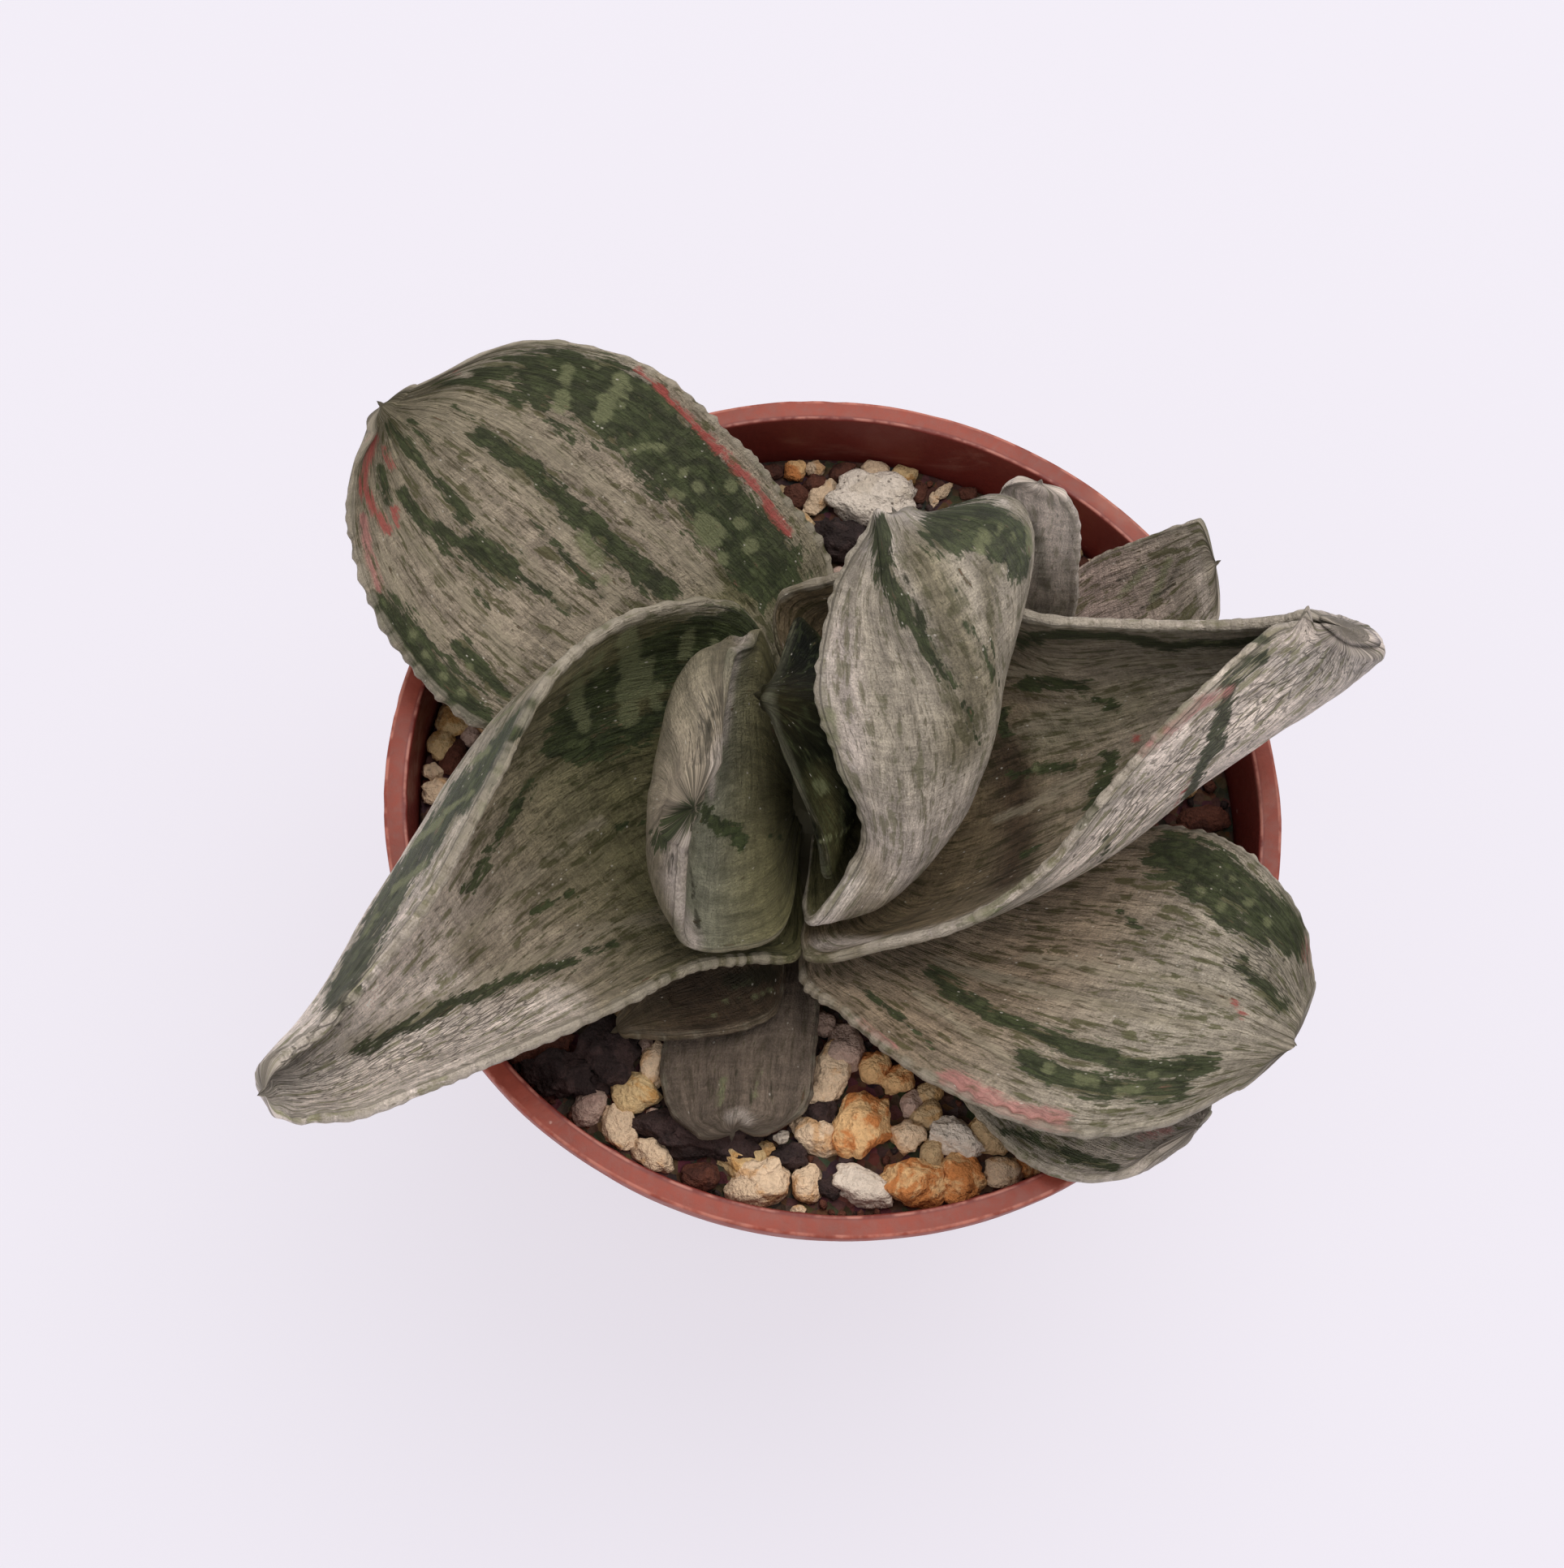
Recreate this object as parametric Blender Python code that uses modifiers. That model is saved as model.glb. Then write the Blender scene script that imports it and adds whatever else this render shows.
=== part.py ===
"""A gasteria in a round plastic pot: twelve thick warty-edged leaves round a short stem, in stony substrate.

Metres, +Z up. The origin is the middle of the pot's base, on the plane that it stands on. +X is the side that
the longest leaf on the right points to, and -Y is the front. The sizes below are in millimetres.
"""

import math
import random

import bmesh
import bpy
import numpy as np
from mathutils import Matrix, Vector
from mathutils.bvhtree import BVHTree

MM = 0.001
GAP = 0.3
SHARP_FROM = 35.0

# The pot.
POT_HEIGHT = 60.0
RIM_RADIUS = 42.5
LIP_WIDTH = 2.15
LIP_THICKNESS = 1.3
LIP_CHAMFER = 0.3
COLLAR_OVERHANG = 1.2
COLLAR_HEIGHT = 10.0
COLLAR_TAPER = 0.9
COLLAR_STEP = 0.4
COLLAR_WALL = 1.1
BASE_RADIUS = 27.5
WALL = 1.2
BASE_THICKNESS = 1.6
BASE_CHAMFER = 0.8
POT_SIDES = 56
DRAIN_HOLES = 5
DRAIN_RADIUS = 3.0
DRAIN_SIDES = 16
DRAIN_CIRCLE = 17.0
DRAIN_GROOVE_DEPTH = 0.7
DRAIN_GROOVE_WIDTH = 3.0

# The substrate. Heights above the rim are negative below it.
SOIL_TOP = -6.4
SOIL_CROWN = -6.9
SOIL_DISH = 18.0
SOIL_SHOULDER = 30.0
STONE_SEED = 11
STONE_COUNT = 34
STONE_TRIES = 4000
STONE_SMALLEST = 2.6
STONE_LARGEST = 4.6
STONE_REACH = 38.0
STONE_ROUGH = (0.82, 1.1)
STONE_FINE_FROM = 7.5
STONE_SUNK = 0.42
STONE_TALL = 0.4
STONE_SPACING = 0.42

# The stem. Its profile is (height above the rim, radius), bottom to top.
STEM_X = -2.5
STEM_Y = -2.0
STEM_PROFILE = (
    (-27.0, 3.5),
    (-25.0, 5.5),
    (-8.0, 7.6),
    (-4.0, 7.4),
    (-1.0, 6.6),
    (2.0, 5.2),
    (4.2, 3.7),
    (5.4, 2.2),
)
STEM_SIDES = 24

# The leaves. Each is (thickness, keel height, grid). A row of a grid is a line across the upper face, from the
# left edge to the right edge as seen from the stem, and the rows run from the stem to the tip. A point is (x, y,
# height above the rim).
WART_PITCH = 2.8
WART_HEIGHT = 0.42
WARTS_FROM = 0.12
EDGE_THICKNESS = 1.25
EDGE_REACH = 0.35
FULLNESS = 2.4
KEEL_HALF_WIDTH = 0.22
NARROW_THICKNESS = 0.6
NARROW_SHARE = 0.45
TIP_REACH = 0.7
ROOT_SHARE = 0.7
ROOT_RUN = 0.3
TIP_THINNING = 0.45
COLUMNS = 7

LEAVES = {
    "leaf_left": (3.0, 0.6, (
        ((-4.2, -6.7, 2.6), (-6.6, -4.9, 1.9), (-7.5, -1.8, 1.6), (-6.3, 1.2, 1.9), (-3.8, 2.8, 2.6)),
        ((-4.8, -16.5, 4.5), (-9, -11.5, 2.4), (-12, -2, 2.2), (-12.5, 8, 3.2), (-8.6, 15.7, 4.8)),
        ((-8.5, -18.3, 6.5), (-12.5, -13.5, 4), (-18, -3, 3.2), (-20, 6, 7.5), (-18.5, 10.6, 16)),
        ((-14, -20, 8.5), (-18, -15.5, 5.8), (-24, -8, 4.5), (-28.5, 0, 12), (-26.5, 1.5, 22)),
        ((-21.5, -24.9, 11), (-24.5, -20.5, 7.8), (-29.5, -13.5, 6.5), (-33.5, -6.5, 14), (-31.5, -9, 22)),
        ((-30.5, -29.9, 13), (-32, -26.5, 10.2), (-35, -20.5, 9), (-38.5, -15.5, 14), (-36, -19, 22)),
        ((-37, -33.4, 14.5), (-38.5, -31, 12.2), (-40.5, -26.5, 11), (-42.5, -22.5, 13.5), (-40, -24, 19)),
        ((-43, -36, 15), (-44, -34.2, 13.2), (-45.5, -31, 12.2), (-46, -28, 13), (-44.5, -29, 16.5)),
        ((-48.7, -36, 15.2), (-49.2, -35, 14.4), (-49.7, -34, 14.2), (-49.5, -33, 14.6), (-49, -32.5, 15.4)),
    )),
    "leaf_right": (3.0, 0.6, (
        ((-1.6, 2.9, 2.6), (1, 1.5, 1.9), (2.5, -1.8, 1.6), (1.3, -5.2, 1.9), (-1.6, -6.9, 2.6)),
        ((-6.3, 15.4, 6), (4, 9.5, 3.2), (9, -1, 2.4), (6, -11, 2.8), (-2, -17.2, 5.2)),
        ((-2, 16.2, 12), (6, 12.5, 6), (13, 0, 3.4), (10, -11, 4), (3, -17, 7.5)),
        ((6.5, 14.5, 18), (12.5, 12.5, 9), (18, 1.5, 5.5), (16, -9, 6.5), (10.5, -15.5, 10.5)),
        ((15.5, 10.9, 17), (19.5, 9.5, 10), (24.5, 3, 7.5), (23.5, -6, 9.5), (17, -11.5, 14)),
        ((24, 10.3, 17), (27.5, 10.2, 11), (31, 5.5, 9), (30.5, -1, 12), (22, -6, 18)),
        ((32.5, 10.2, 17.5), (36, 10.6, 12), (39.8, 8, 10.5), (38, 4, 14), (28, 0.5, 20)),
        ((38.2, 10.1, 18.5), (42.5, 11.2, 14), (46.2, 10.2, 12), (43, 7.5, 15), (34.5, 5.3, 21)),
        ((40.6, 10.2, 20.4), (44.4, 10.6, 17.5), (47.8, 10.2, 15.4), (44, 9.2, 17.5), (40.2, 9.4, 20.6)),
    )),
    "leaf_back_left": (3.2, 0.8, (
        ((-8.4, -0.8, -3), (-6.4, 2.6, -3.3), (-3, 4, -3)),
        ((-20, 5, -1), (-12, 11, -2), (-0.5, 22.5, 0)),
        ((-33, 4.5, 3.5), (-21, 17, 1.5), (-6, 30, 4)),
        ((-41.5, 11.5, 6.5), (-30, 23, 5), (-12.5, 35, 8)),
        ((-45.5, 19.5, 9), (-36.5, 27.5, 8), (-20, 40, 10)),
        ((-46, 26, 11), (-41, 31, 10), (-31, 40.5, 12)),
        ((-44.3, 30.5, 12), (-43.3, 32.3, 12), (-41, 35, 12.3)),
    )),
    "leaf_front_right": (3.0, 0.7, (
        ((3, -2, -1.4), (2.1, -5.2, -1.4), (-0.6, -7.3, -1.2)),
        ((12, -4, -1), (6, -11, -1), (-3.5, -17.8, 1.8)),
        ((21, -3.5, 0.8), (13.5, -15, 0.8), (0.5, -22.5, 3.5)),
        ((31.5, -4, 4), (22, -17.5, 3.2), (7.5, -29, 6)),
        ((37, -7.5, 7), (29.5, -20, 6), (18.5, -34, 7.5)),
        ((41.2, -14, 8.5), (35.5, -22.6, 8), (27.5, -33.6, 8.8)),
        ((41.8, -20.6, 9.3), (39.4, -25.3, 9), (34.5, -30.2, 9.3)),
    )),
    "leaf_center_right": (2.4, 1.6, (
        ((0.5, -0.6, 4.4), (0.8, -2.3, 4.4), (0.2, -4, 4.4), (-1.1, -5.1, 4.3), (-2.6, -5.4, 4.2)),
        ((7.6, 3, 8), (6.8, -2, 7), (4.4, -8, 6.6), (1.4, -12, 6.8), (-2.4, -14.6, 7.4)),
        ((11.8, 4.5, 13), (9.8, -0.5, 11.4), (7.6, -5.5, 9.8), (4, -9.5, 10.4), (0.9, -9.2, 12.8)),
        ((12.8, 9, 17.5), (11.2, 4.5, 16.5), (9.4, 0, 15.5), (4, -4.5, 17), (-2, -5, 20)),
        ((14.2, 13, 21), (12.6, 9.5, 21), (8, 3, 22.4), (3, 1, 23.5), (-4, 0, 24)),
        ((14.4, 16.5, 24), (12.4, 13.2, 26), (5.4, 6.5, 28), (1.3, 5.5, 28), (-3, 6.5, 28)),
        ((11.6, 17.8, 27), (9.2, 14.5, 28.8), (3, 10.2, 31), (0.7, 9.5, 30.5), (-1.5, 10, 31)),
        ((5.2, 13.6, 31), (3.2, 12.8, 32), (1.4, 12, 33.2), (0.9, 12, 33), (0.4, 12.2, 33)),
    )),
    "leaf_center_left": (5.2, 0.3, (
        ((-3.8, -4.9, 4.6), (-4.4, -3.8, 4.8), (-4.6, -2, 5), (-4.3, -0.4, 4.8), (-3.8, 0.6, 4.6)),
        ((-5.5, -15.5, 7.5), (-6.4, -10, 7.6), (-7, -2, 8.2), (-7.4, 7.5, 8.8), (-7.5, 12, 8.5)),
        ((-10.5, -18.5, 9), (-11, -13.5, 9.8), (-10.6, -3, 11), (-10.2, 7, 11.4), (-8.8, 10.2, 10.8)),
        ((-14.5, -19, 12), (-14.2, -14.5, 14), (-13.4, -6.5, 15.6), (-12.6, 3.2, 15.2), (-10.5, 8, 13.5)),
        ((-15, -16.5, 17), (-15.2, -13.6, 18.6), (-14.6, -9, 19.8), (-13.3, -2, 19.3), (-11.5, 2.5, 18)),
        ((-15, -13.5, 21), (-15, -12.5, 21.5), (-14.3, -11, 22), (-13.6, -8.5, 22), (-12.8, -6, 21)),
    )),
    "leaf_heart": (2.0, 0.4, (
        ((-3.4, -0.6, 5.2), (-1.6, -2, 5.2), (-3.2, -3.4, 5.2)),
        ((-4, 10.5, 8.2), (-0.2, 1, 7.2), (-2.2, -10.3, 8.2)),
        ((-5, 12.5, 11), (0, 1.5, 12), (-2.6, -11.5, 10.5)),
        ((-6, 9, 14), (-1.5, 0, 16), (-3.5, -8.5, 13.5)),
        ((-7, 4.5, 16.5), (-4, 0.5, 18.5), (-6, -3.5, 16.5)),
        ((-8, 2.2, 18), (-7.6, 1.5, 18.5), (-7.6, 0.8, 18)),
    )),
    "leaf_under_right": (1.9, 0.4, (
        ((2.8, -5.7, -4.5), (1.7, -7, -4.5), (0.2, -7.9, -4.5)),
        ((12, -13, -3.9), (9.5, -16.5, -4), (6, -19.5, -3.8)),
        ((24, -21, -0.5), (18.5, -25.5, -1), (12.5, -30, -0.5)),
        ((31, -25.5, 2), (24.5, -30.5, 1.6), (18, -36, 2)),
        ((33, -29, 3.3), (28.5, -33.5, 3), (24, -37, 3.3)),
        ((32.8, -31.2, 3.8), (30.8, -33, 3.7), (28.5, -34.3, 3.8)),
    )),
    "leaf_front_left": (1.7, 0.3, (
        ((-4.7, -7.9, -1.6), (-6.5, -6.8, -1.8), (-8, -5.2, -1.6)),
        ((-5.3, -19, -1.6), (-8, -15.5, -2), (-11.5, -12, -1.2)),
        ((-8.2, -22.2, -1.4), (-11, -18.5, -1.8), (-14.5, -15, -1)),
        ((-14.5, -23.6, -0.9), (-16, -20.5, -1.2), (-18, -17.8, -0.8)),
        ((-19.2, -23.6, -0.7), (-19.6, -22.8, -0.8), (-19.8, -21.8, -0.7)),
    )),
    "leaf_front": (1.7, 0.3, (
        ((-3, -8.2, -4.2), (-4.6, -7.8, -4.2), (-6.2, -7.2, -4.2)),
        ((-1.8, -17, -3.8), (-7, -17, -4), (-13, -17.5, -4.3)),
        ((-2.2, -24, -3.2), (-9, -24, -3.5), (-15.8, -24.5, -4)),
        ((-3, -29.5, -2.6), (-9.3, -29, -2.8), (-15, -30, -3.2)),
        ((-6.5, -31.8, -2.4), (-9.5, -31, -2.5), (-12.4, -32.2, -2.6)),
    )),
    "leaf_back_right": (1.9, 0.6, (
        ((2, 2.5, -4), (3, 1.2, -4), (3.6, -0.4, -4)),
        ((12.5, 15, -3.2), (15, 11, -3.4), (16.5, 6, -3.2)),
        ((23.8, 24, 1), (25, 18.5, -1), (26.5, 11.5, -1)),
        ((29, 25.5, 4.3), (31, 20.5, 2.4), (33, 13.5, 1.8)),
        ((33.8, 25.6, 9), (35.2, 22.2, 6.4), (36, 17.5, 5)),
    )),
    "leaf_back": (1.7, 0.3, (
        ((-1.6, 4.4, -1.2), (0, 4, -1.2), (1.2, 3.2, -1.2)),
        ((6.2, 16, -0.5), (9.2, 13.6, -0.6), (12, 10.6, -0.6)),
        ((11, 20, 5), (15.5, 17.2, 3), (21, 15.5, 4.5)),
        ((12, 20.8, 14), (15.5, 18.5, 13), (20.8, 17.6, 14)),
        ((12.6, 20.6, 20), (15.6, 19.2, 20.5), (20, 19, 20)),
        ((13.8, 20.4, 24.5), (15.6, 19.8, 24.5), (18.2, 19.5, 24)),
    )),
}

# The stones that show in the photo: (x, y, length, width, turn in degrees).
LARGE_STONES = (
    (3.7, 34.0, 8.0, 5.2, 0),
    (5.8, 37.0, 5.0, 3.0, 0),
    (-3.8, 36.6, 2.8, 2.6, 0),
    (1.2, 29.0, 8.0, 5.5, 20),
    (-37.0, 7.6, 4.2, 3.2, 60),
    (-37.2, 4.8, 3.4, 2.8, 0),
    (-37.2, 1.0, 3.8, 3.2, 20),
    (-21.2, -24.3, 7.0, 5.5, 20),
    (-25.0, -26.0, 5.0, 4.6, 0),
    (-13.0, -32.6, 8.6, 5.0, 0),
    (-22.0, -29.8, 3.8, 3.2, 20),
    (-19.5, -28.0, 4.0, 3.0, 60),
    (-19.3, -31.4, 3.4, 2.6, -60),
    (-16.4, -34.0, 3.8, 2.6, -40),
    (-9.0, -34.6, 3.4, 2.8, 0),
    (-7.0, -37.0, 5.6, 4.6, 0),
    (-2.4, -36.8, 3.8, 2.8, 80),
    (-1.6, -33.0, 4.6, 3.0, -10),
    (-0.4, -27.0, 5.6, 3.4, 70),
    (0.6, -22.8, 4.4, 3.8, 60),
    (2.8, -31.2, 6.0, 5.2, 50),
    (4.2, -26.8, 4.6, 4.0, 0),
    (2.8, -36.8, 5.6, 3.4, -15),
    (7.0, -36.0, 4.6, 4.2, 0),
    (6.8, -31.6, 3.2, 2.6, 60),
    (11.2, -32.2, 5.4, 3.2, -20),
    (11.4, -35.6, 4.2, 3.8, 0),
    (15.2, -34.0, 3.2, 2.8, 60),
    (24.5, 25.5, 3.6, 3.2, 40),
    (31.0, 0.0, 5.0, 4.0, 80),
)


def clear_scene():
    for thing in list(bpy.data.objects):
        bpy.data.objects.remove(thing)


def collection(name):
    made = bpy.data.collections.new(name)
    bpy.context.scene.collection.children.link(made)
    return made


def material(name, colour, roughness):
    made = bpy.data.materials.new(name)
    made.use_nodes = True
    shader = made.node_tree.nodes["Principled BSDF"]
    shader.inputs["Base Color"].default_value = (*colour, 1.0)
    shader.inputs["Roughness"].default_value = roughness
    shader.inputs["Metallic"].default_value = 0.0
    made.diffuse_color = (*colour, 1.0)
    return made


def new_object(name, mesh, home, finish=None):
    made = bpy.data.objects.new(name, mesh)
    home.objects.link(made)
    if finish:
        mesh.materials.append(finish)
    return made


def mesh_of(name, points, faces):
    """A mesh of points in millimetres."""
    mesh = bpy.data.meshes.new(name)
    mesh.from_pydata((MM * np.asarray(points)).tolist(), [], faces)
    mesh.update()
    return mesh


def shade(thing):
    thing.data.shade_smooth()
    thing.data.set_sharp_from_angle(angle=math.radians(SHARP_FROM))


def turned(name, profile, home, sides, finish=None, centre=(0.0, 0.0)):
    """A solid of revolution. Its profile is (radius, height), down the outer side and up the inner side."""
    edges = [(i, i + 1) for i in range(len(profile) - 1)]
    if profile[0][0] > 0:
        edges.append((len(profile) - 1, 0))
    mesh = bpy.data.meshes.new(name)
    mesh.from_pydata([(MM * radius, 0.0, MM * height) for radius, height in profile], edges, [])
    made = new_object(name, mesh, home, finish)
    made.location = (MM * centre[0], MM * centre[1], 0.0)
    screw = made.modifiers.new("Turn", "SCREW")
    screw.axis = "Z"
    screw.angle = math.tau
    screw.steps = sides
    screw.render_steps = sides
    screw.use_merge_vertices = True
    screw.merge_threshold = 0.00001
    return made


def as_mesh(thing):
    """Replaces an object's modifiers by their result, in world space."""
    bpy.context.view_layer.update()
    seen = thing.evaluated_get(bpy.context.evaluated_depsgraph_get())
    mesh = bpy.data.meshes.new_from_object(seen)
    mesh.transform(thing.matrix_world)
    thing.modifiers.clear()
    thing.data = mesh
    thing.location = (0.0, 0.0, 0.0)


def boolean(thing, other, operation):
    cut = thing.modifiers.new(operation.title(), "BOOLEAN")
    cut.operation = operation
    cut.solver = "EXACT"
    if isinstance(other, bpy.types.Collection):
        cut.operand_type = "COLLECTION"
        cut.collection = other
    else:
        cut.object = other
    return cut


def as_cutter(thing):
    thing.hide_render = True
    thing.display_type = "WIRE"


def smooth_curve(values, at):
    """A Catmull-Rom curve through evenly spaced values, read at positions from 0 to 1."""
    values = np.asarray(values, float)
    last = len(values) - 1
    before = 2 * values[0] - values[1]
    after = 2 * values[last] - values[last - 1]
    padded = np.concatenate([[before], values, [after]])
    place = np.clip(np.asarray(at, float), 0.0, 1.0) * last
    start = np.minimum(place.astype(int), last - 1)
    u = (place - start).reshape(-1, *[1] * (values.ndim - 1))
    a, b, c, d = (padded[start + shift] for shift in range(4))
    return 0.5 * (2 * b + (c - a) * u + (2 * a - 5 * b + 4 * c - d) * u**2 + (3 * b - a - 3 * c + d) * u**3)


def leaf_face(grid, rows, columns):
    """The upper face: points by row and column, with the rows evenly spaced along the middle."""
    grid = np.asarray(grid, float)
    middle = grid.shape[1] // 2
    fine = np.linspace(0.0, 1.0, 200)
    path = smooth_curve(grid[:, middle], fine)
    walked = np.concatenate([[0.0], np.cumsum(np.linalg.norm(np.diff(path, axis=0), axis=1))])
    along = np.interp(np.linspace(0.0, walked[-1], rows), walked, fine)
    lengthwise = smooth_curve(grid, along)
    across = np.linspace(0.0, 1.0, columns)
    face = np.stack([smooth_curve(row, across) for row in lengthwise])
    return face, walked[-1]


def unit(vectors):
    return vectors / np.maximum(np.linalg.norm(vectors, axis=-1, keepdims=True), 1e-9)


def leaf_length(grid):
    return leaf_face(grid, 2, 2)[1]


def leaf_mesh(name, grid, thickness, keel, top):
    """A closed leaf: the upper face, the lower face at the leaf's thickness, and a warty edge between."""
    warts = max(4, round(leaf_length(grid) / WART_PITCH))
    rows = 2 * warts + 1
    face, length = leaf_face(grid, rows, COLUMNS)
    along = np.linspace(0.0, 1.0, rows)[:, None]
    across = np.linspace(-1.0, 1.0, COLUMNS)[None, :]
    lift = unit(np.cross(np.gradient(face, axis=1), np.gradient(face, axis=0)))
    width = np.linalg.norm(face[:, -1] - face[:, 0], axis=1)[:, None]
    root = np.clip(along / ROOT_RUN, 0.0, 1.0)
    full = thickness * (1.0 - TIP_THINNING * along**3) * (ROOT_SHARE + (1.0 - ROOT_SHARE) * root)
    depth = EDGE_THICKNESS + (full - EDGE_THICKNESS) * (1.0 - np.abs(across) ** FULLNESS)
    ridge = np.exp(-((across / KEEL_HALF_WIDTH) ** 2))
    depth = depth + keel * np.sin(math.pi * along**2) * ridge
    depth = np.minimum(depth, NARROW_THICKNESS + NARROW_SHARE * width)
    under = face - lift * depth[..., None]
    swell = WART_HEIGHT * (np.arange(rows) % 2) * (along[:, 0] > WARTS_FROM)
    reach = (EDGE_REACH + swell)[:, None]
    left = 0.5 * (face[:, 0] + under[:, 0]) + unit(face[:, 0] - face[:, 1]) * reach
    right = 0.5 * (face[:, -1] + under[:, -1]) + unit(face[:, -1] - face[:, -2]) * reach
    loops = np.concatenate([face, right[:, None], under[:, ::-1], left[:, None]], axis=1)
    loops[..., 2] += top
    around = loops.shape[1]
    points = [tuple(point) for loop in loops for point in loop]
    faces = []
    for row in range(rows - 1):
        for step in range(around):
            a = row * around + step
            b = row * around + (step + 1) % around
            faces.append((a, b, b + around, a + around))
    end = loops[-1].mean(axis=0)
    tip_point = end + unit(end - loops[-2].mean(axis=0)) * TIP_REACH
    points.append(tuple(loops[0].mean(axis=0)))
    points.append(tuple(tip_point))
    root, tip = len(points) - 2, len(points) - 1
    first = (rows - 1) * around
    for step in range(around):
        after = (step + 1) % around
        faces.append((root, after, step))
        faces.append((tip, first + step, first + after))
    mesh = mesh_of(name, points, faces)
    shaped = bmesh.new()
    shaped.from_mesh(mesh)
    bmesh.ops.triangulate(shaped, faces=shaped.faces[:], quad_method="FIXED")
    bmesh.ops.recalc_face_normals(shaped, faces=shaped.faces[:])
    shaped.to_mesh(mesh)
    shaped.free()
    return mesh


def make_leaves(home, cutter, top):
    finish = material("leaf", (0.16, 0.17, 0.11), 0.55)
    for name, (thickness, keel, grid) in LEAVES.items():
        mesh = leaf_mesh(name, grid, thickness, keel, top)
        leaf = new_object(name, mesh, home, finish)
        boolean(leaf, cutter, "DIFFERENCE")
        as_mesh(leaf)
        shade(leaf)


def make_stem(home, cutters, top):
    """The stem, and the same shape a gap larger, which trims the leaves' roots."""
    finish = material("stem", (0.12, 0.12, 0.06), 0.7)
    profile = [(radius, top + height) for height, radius in reversed(STEM_PROFILE)]
    closed = [(0.0, profile[0][1]), *profile, (0.0, profile[-1][1])]
    stem = turned("stem", closed, home, STEM_SIDES, finish, (STEM_X, STEM_Y))
    shade(stem)
    crown = profile[0][1] + GAP
    foot = profile[-1][1] - GAP
    wide = [(0.0, crown), (profile[0][0] + GAP, crown)]
    wide += [(radius + GAP, height) for radius, height in profile[1:]]
    wide += [(profile[-1][0] + GAP, foot), (0.0, foot)]
    cutter = turned("stem_clearance", wide, cutters, STEM_SIDES, None, (STEM_X, STEM_Y))
    as_mesh(cutter)
    as_cutter(cutter)
    return cutter


def wall_radius(height, top):
    """The pot's inner radius at a height above the base."""
    lip = RIM_RADIUS - LIP_WIDTH
    neck = lip - COLLAR_WALL
    step = top - COLLAR_HEIGHT
    if height > step:
        return neck + (lip - neck) * (height - step) / COLLAR_HEIGHT
    floor = BASE_RADIUS - WALL
    return floor + (neck - floor) * (height - BASE_THICKNESS) / (step - BASE_THICKNESS)


def drain_hole(step, angle, cutters):
    place = (math.cos(angle) * DRAIN_CIRCLE, math.sin(angle) * DRAIN_CIRCLE)
    high = 2 * BASE_THICKNESS
    low = -BASE_THICKNESS
    profile = [(0.0, high), (DRAIN_RADIUS, high), (DRAIN_RADIUS, low), (0.0, low)]
    hole = turned(f"drain_hole_{step}", profile, cutters, DRAIN_SIDES, None, place)
    as_mesh(hole)
    return hole


def drain_groove(step, angle, cutters):
    """A cutter for the groove under the base, from a drain hole out past the edge."""
    shaped = bmesh.new()
    bmesh.ops.create_cube(shaped, size=1.0)
    mesh = bpy.data.meshes.new(f"drain_groove_{step}")
    shaped.to_mesh(mesh)
    shaped.free()
    groove = new_object(mesh.name, mesh, cutters)
    run = BASE_RADIUS + 2 * BASE_CHAMFER - DRAIN_CIRCLE
    middle = MM * (DRAIN_CIRCLE + run / 2)
    groove.scale = (MM * run, MM * DRAIN_GROOVE_WIDTH, MM * DRAIN_GROOVE_DEPTH * 2)
    groove.location = (math.cos(angle) * middle, math.sin(angle) * middle, 0.0)
    groove.rotation_euler = (0.0, 0.0, angle)
    return groove


def make_pot(home, cutters, top):
    finish = material("terracotta_plastic", (0.32, 0.075, 0.055), 0.5)
    lip = RIM_RADIUS - LIP_WIDTH
    collar = RIM_RADIUS - COLLAR_OVERHANG
    collar_foot = collar - COLLAR_TAPER
    shoulder = collar_foot - COLLAR_STEP
    step_height = top - COLLAR_HEIGHT
    profile = [
        (lip + LIP_CHAMFER, top),
        (RIM_RADIUS - LIP_CHAMFER, top),
        (RIM_RADIUS, top - LIP_CHAMFER),
        (RIM_RADIUS, top - LIP_THICKNESS),
        (collar, top - LIP_THICKNESS),
        (collar_foot, step_height),
        (shoulder, step_height - COLLAR_STEP),
        (BASE_RADIUS, BASE_CHAMFER),
        (BASE_RADIUS - BASE_CHAMFER, 0.0),
        (0.0, 0.0),
        (0.0, BASE_THICKNESS),
        (wall_radius(BASE_THICKNESS, top), BASE_THICKNESS),
        (wall_radius(step_height, top), step_height),
        (lip, top - LIP_CHAMFER),
    ]
    pot = turned("pot", profile, home, POT_SIDES, finish)
    as_mesh(pot)
    for step in range(DRAIN_HOLES):
        angle = math.tau * step / DRAIN_HOLES
        for cut in (drain_hole(step, angle, cutters), drain_groove(step, angle, cutters)):
            as_cutter(cut)
            boolean(pot, cut, "DIFFERENCE")
    as_mesh(pot)
    shade(pot)


def stone_mesh(name, place, size, turn, draw, rounds):
    """An angular pebble: an icosphere of this size with its corners pushed in and out at random."""
    shaped = bmesh.new()
    bmesh.ops.create_icosphere(shaped, subdivisions=rounds, radius=0.5)
    for vertex in shaped.verts:
        vertex.co *= draw.uniform(*STONE_ROUGH)
    mesh = bpy.data.meshes.new(name)
    shaped.to_mesh(mesh)
    shaped.free()
    mesh.transform(
        Matrix.Translation(MM * Vector(place))
        @ Matrix.Rotation(math.radians(turn), 4, "Z")
        @ Matrix.Diagonal((MM * size[0], MM * size[1], MM * size[2], 1.0))
    )
    return mesh


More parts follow.
